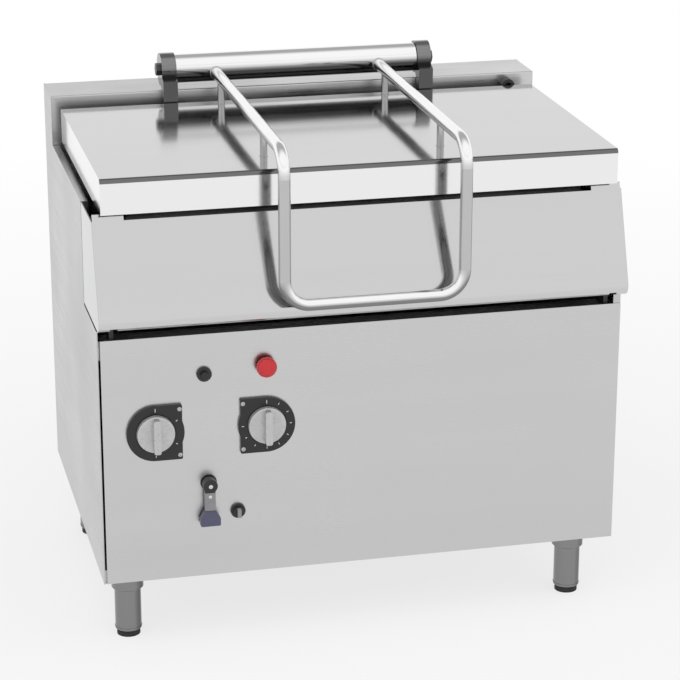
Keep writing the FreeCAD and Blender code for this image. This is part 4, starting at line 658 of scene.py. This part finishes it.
def bezel_screws():
    """Two small bright screws in the square corners of each knob bezel."""
    radius = 0.0042
    inset = 0.009
    mesh = screw_mesh(radius)
    for side, square in (("left", 1), ("right", -1)):
        node = f"{side}_knob_bezel"
        low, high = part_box(node)
        x = high.x - inset if square > 0 else low.x + inset
        for label, z, turn in (("top", high.z - inset, 0.4), ("bottom", low.z + inset, 1.0)):
            name = f"{side}_bezel_screw_{label}"
            set_piece(name, mesh, "knob", "chassis", (x, low.y, z), "front", turn)


# Controls
def join_meshes(name, parts):
    """One mesh from (mesh, matrix) pairs."""
    shape = bmesh.new()
    for mesh, matrix in parts:
        copy = mesh.copy()
        copy.transform(matrix)
        shape.from_mesh(copy)
        bpy.data.meshes.remove(copy)
    joined = bpy.data.meshes.new(name)
    shape.to_mesh(joined)
    shape.free()
    smooth_by_angle(joined)
    return joined


def knob_scales():
    """Printed marks on the bezels: four positions on the left, a temperature scale on the right."""
    radius = 0.0455
    for side, count, step in (("left", 4, 60), ("right", 10, 30)):
        bezel = f"{side}_knob_bezel"
        knob_low, knob_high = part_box(f"{side}_knob")
        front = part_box(bezel)[0].y
        centre = ((knob_low.x + knob_high.x) / 2, front, (knob_low.z + knob_high.z) / 2)
        marks = []
        for i in range(count):
            length = 0.0034 if i == 0 else 0.002
            mark = box_mesh((-0.0006, radius - length, -0.0002), (0.0006, radius + length, 0.00015), 0.00006)
            marks.append((mark, Matrix.Rotation(math.radians(-step * i), 4, "Z")))
        scale = join_meshes(f"{side}_bezel_scale", marks)
        set_piece(f"{side}_bezel_scale", scale, "print_white", "chassis", centre, "front")


def tap_screws():
    """Domed screw in the hub of the tap lever and a small rivet on its blade."""
    low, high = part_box("tap_lever")
    hub_radius, blade_recess, rivet_drop = 0.0135, 0.0065, 0.023
    x, hub = (low.x + high.x) / 2, high.z - hub_radius
    rivet = lathe([(0, 0), (0.0034, 0), (0.0032, 0.0008), (0.0018, 0.0016), (0, 0.0018)], 24)
    pieces = (
        ("tap_hub_screw", screw_mesh(0.0042), (x, low.y, hub), 0.6),
        ("tap_blade_rivet", rivet, (x, low.y + blade_recess, hub - rivet_drop), 0.0),
    )
    for name, mesh, place, turn in pieces:
        set_piece(name, mesh, "bright_screw", "tap_lever", place, "front", turn)


# Welds of the lid
def bead(path, radius, sides=10):
    """Weld bead along a closed path of points, with the ripple of the weld pool."""
    mesh = bpy.data.meshes.new("bead")
    shape = bmesh.new()
    rings = []
    count = len(path)
    for i, point in enumerate(path):
        ahead = (path[(i + 1) % count] - path[i - 1]).normalized()
        side = ahead.orthogonal().normalized()
        if rings and side.dot(last_side) < 0.2:
            side = (last_side - ahead * last_side.dot(ahead)).normalized()
        up = ahead.cross(side)
        last_side = side
        swell = radius * (1 + 0.12 * math.sin(i * 1.9))
        ring = []
        for k in range(sides):
            angle = 2 * math.pi * k / sides
            offset = side * math.cos(angle) + up * math.sin(angle)
            ring.append(shape.verts.new(point + offset * swell))
        rings.append(ring)
    for i in range(count):
        lower, upper = rings[i], rings[(i + 1) % count]
        for k in range(sides):
            j = (k + 1) % sides
            shape.faces.new((lower[k], lower[j], upper[j], upper[k]))
    bmesh.ops.recalc_face_normals(shape, faces=shape.faces)
    shape.to_mesh(mesh)
    shape.free()
    mesh.shade_smooth()
    return mesh


def handle_welds():
    """Beads where the handle arms are saddled to the hinge tube and where the stand-offs meet the lid."""
    handle_low, handle_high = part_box("lid_handle")
    tube_low, tube_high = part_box("hinge_tube")
    axis_y, axis_z = (tube_low.y + tube_high.y) / 2, (tube_low.z + tube_high.z) / 2
    tube_radius = (tube_high.z - tube_low.z) / 2
    arm_radius, arm_steps = 0.0115, 56
    arm_z = handle_high.z - arm_radius
    for side, x in (("left", handle_low.x + arm_radius), ("right", handle_high.x - arm_radius)):
        path = []
        for i in range(arm_steps):
            angle = 2 * math.pi * i / arm_steps
            z = arm_z + arm_radius * math.sin(angle)
            y = axis_y - math.sqrt(tube_radius ** 2 - (z - axis_z) ** 2)
            path.append(Vector((x + arm_radius * math.cos(angle), y, z)))
        new_piece(f"{side}_arm_weld", bead(path, 0.0016), "weld", "lid")
    lid_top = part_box("lid_shell")[1].z
    post_low, post_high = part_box("handle_posts")
    post_radius, ring_radius, ring_steps = 0.007, 0.0072, 36
    for side, x in (("left", post_low.x + post_radius), ("right", post_high.x - post_radius)):
        for end, y in (("front", post_low.y + post_radius), ("rear", post_high.y - post_radius)):
            path = []
            for i in range(ring_steps):
                angle = 2 * math.pi * i / ring_steps
                across, along = ring_radius * math.cos(angle), ring_radius * math.sin(angle)
                path.append(Vector((x + across, y + along, lid_top)))
            new_piece(f"{side}_{end}_post_weld", bead(path, 0.0011, 8), "weld", "lid")


# Cabinet
def cabinet_screws():
    """Screws round the rear panel."""
    low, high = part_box("rear_panel")
    mesh = screw_mesh(0.0042)
    inset = 0.009
    columns = [low.x + inset, low.x / 3, high.x / 3, high.x - inset]
    rows = [low.z + 0.012, (low.z + high.z) / 2, high.z - 0.012]
    for c, x in enumerate(columns):
        for r, z in enumerate(rows):
            if c in (1, 2) and r == 1:
                continue
            name, place, turn = f"rear_screw_{c}_{r}", (x, high.y, z), 0.7 * c + r
            set_piece(name, mesh, "bright_screw", "chassis", place, "back", turn)


def terminal_box_cover():
    """Cover of the terminal box with its four screws."""
    low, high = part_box("terminal_box")
    edge, skirt, rise, inset = 0.0015, 0.018, 0.004, 0.008
    top = high.z + rise
    cover = box_mesh((low.x - edge, low.y - edge, high.z - skirt), (high.x + edge, high.y + edge, top), 0.002)
    new_piece("terminal_box_cover", cover, "enclosure", "chassis")
    mesh = screw_mesh(0.0035)
    for i, x in enumerate((low.x + inset, high.x - inset)):
        for j, y in enumerate((low.y + inset, high.y - inset)):
            name, turn = f"terminal_box_screw_{i}_{j}", i + 2 * j
            set_piece(name, mesh, "bright_screw", "chassis", (x, y, top), "up", turn)


def foot_rings():
    """Shoulder ring round each adjustable foot, a little above its sole."""
    inner, outer, half, height = 0.0235, 0.0262, 0.0012, 0.0165
    ring = lathe([(inner, -half), (outer, -half), (outer, half), (inner, half)], 48)
    for end in ("left_front", "right_front", "left_rear", "right_rear"):
        low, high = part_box(f"{end}_foot")
        place = ((low.x + high.x) / 2, (low.y + high.y) / 2, height)
        set_piece(f"{end}_foot_ring", ring, "leg", "chassis", place)


# Well
def well_skin():
    """Pressed inner face of the well: coved floor corners and round upright corners."""
    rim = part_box("pan_walls")[1].z
    plate_low, plate_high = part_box("pan_base_plate")
    clear, overlap = 0.0006, 0.0018
    cove, corner, arc_steps = 0.02, 0.032, 8
    lip_half, lip_side, lip_z = 0.0955, 0.002, rim - 0.0075
    slope = 0.3824
    half = plate_high.x - clear
    back = plate_high.y - clear

    def front(z):
        return plate_low.y + clear - (z - plate_high.z) * slope

    def outline(inset, z, radius):
        """Points anticlockwise, seen from above; the front run has extra ones beside the lip."""
        x, rear, near = half - inset, back - inset, front(z) + inset
        points = []
        corners = (
            (x - radius, rear - radius, 0),
            (radius - x, rear - radius, 90),
            (radius - x, near + radius, 180),
            (x - radius, near + radius, 270),
        )
        for index, (cx, cy, start) in enumerate(corners):
            for step in range(arc_steps + 1):
                angle = math.radians(start + step * 90 / arc_steps)
                points.append(Vector((cx + radius * math.cos(angle), cy + radius * math.sin(angle), z)))
            if index == 2:
                sides = (-lip_half - lip_side, -lip_half, lip_half, lip_half + lip_side)
                points += [Vector((side, near, z)) for side in sides]
        return points

    floor = plate_high.z + 0.0004
    rings = []
    for step in range(arc_steps + 1):
        angle = math.radians(step * 90 / arc_steps)
        inset = cove * (1 - math.sin(angle))
        rings.append(outline(inset, floor + cove * (1 - math.cos(angle)), corner - inset))
    top = rim + 0.0004
    for z in (lip_z, top):
        rings.append(outline(0.0, z, corner))
    # The last ring lies square over the rim and closes its round corners
    rings.append(outline(-overlap, top, 0.0002))
    for ring in rings[-2:]:
        for point in ring:
            if point.y < front(top) + 0.001 and abs(point.x) < lip_half + 0.001:
                point.z = lip_z + 0.0002
                point.y = front(lip_z)
    shape = bmesh.new()
    loops = [[shape.verts.new(point) for point in ring] for ring in rings]
    for lower, upper in zip(loops, loops[1:]):
        for i in range(len(lower)):
            j = (i + 1) % len(lower)
            shape.faces.new((lower[j], lower[i], upper[i], upper[j]))
    bmesh.ops.dissolve_degenerate(shape, dist=0.00002, edges=shape.edges)
    mesh = bpy.data.meshes.new("well_skin")
    shape.to_mesh(mesh)
    shape.free()
    smooth_by_angle(mesh)
    new_piece("well_skin", mesh, "well", "pan")


# Drive
def actuator_fittings():
    """Motor cap, flange, rod gland and screws of the tilt actuator, along its leaning axis."""
    joints = {joint["name"]: joint for joint in frame["record"]["behaviour"]["joints"]}
    pin = joints["actuator_swing"]["pos_m"]
    axis = Vector(joints["rod_extend"]["axis"])
    lean = Matrix.Translation(pin) @ Matrix.Rotation(-math.atan2(axis.y, axis.z), 4, "X")
    box_top, motor_x, motor_end, tube_end = 0.068, 0.058, 0.218, 0.4039
    cap = lathe([
        (0, 0.013),
        (0.012, 0.0125),
        (0.021, 0.0095),
        (0.0258, 0.003),
        (0.0267, 0),
        (0.0267, -0.014),
        (0.0258, -0.015),
    ])
    flange = lathe([(0.0255, 0), (0.0288, 0), (0.0288, 0.003), (0.0275, 0.0042), (0.0255, 0.0042)])
    gland = lathe([
        (0.0138, -0.006),
        (0.0138, 0.003),
        (0.0205, 0.0045),
        (0.0252, 0.003),
        (0.0262, 0.001),
        (0.0262, -0.012),
        (0.0245, -0.013),
    ])
    pieces = (
        ("actuator_motor_cap", cap, "black_paint_and_shade", (motor_x, 0, motor_end)),
        ("actuator_motor_flange", flange, "black_paint_and_shade", (motor_x, 0, box_top)),
        ("actuator_rod_gland", gland, "black", (0, 0, tube_end)),
    )
    for name, mesh, finish, place in pieces:
        piece = new_piece(name, mesh, finish, "actuator_body")
        piece.matrix_world = lean @ Matrix.Translation(place)
    screw = screw_mesh(0.0038)
    places = [(x, y, box_top) for x in (-0.024, 0.029, 0.079) for y in (-0.0248, 0.0248)]
    screws = join_meshes("actuator_screws", [(screw, Matrix.Translation(place)) for place in places])
    piece = new_piece("actuator_screws", screws, "bright_screw", "actuator_body")
    piece.matrix_world = lean


def main():
    camera()
    white_floor()
    studio_world()
    softbox("key", (-1.6, -3.2, 4.2), (0, 0, 0.5), 3.6, 2.8, 46)
    dress_nodes()
    bezel_screws()
    knob_scales()
    tap_screws()
    handle_welds()
    cabinet_screws()
    terminal_box_cover()
    foot_rings()
    well_skin()
    actuator_fittings()


main()
bpy.context.scene.view_settings.view_transform = "Standard"
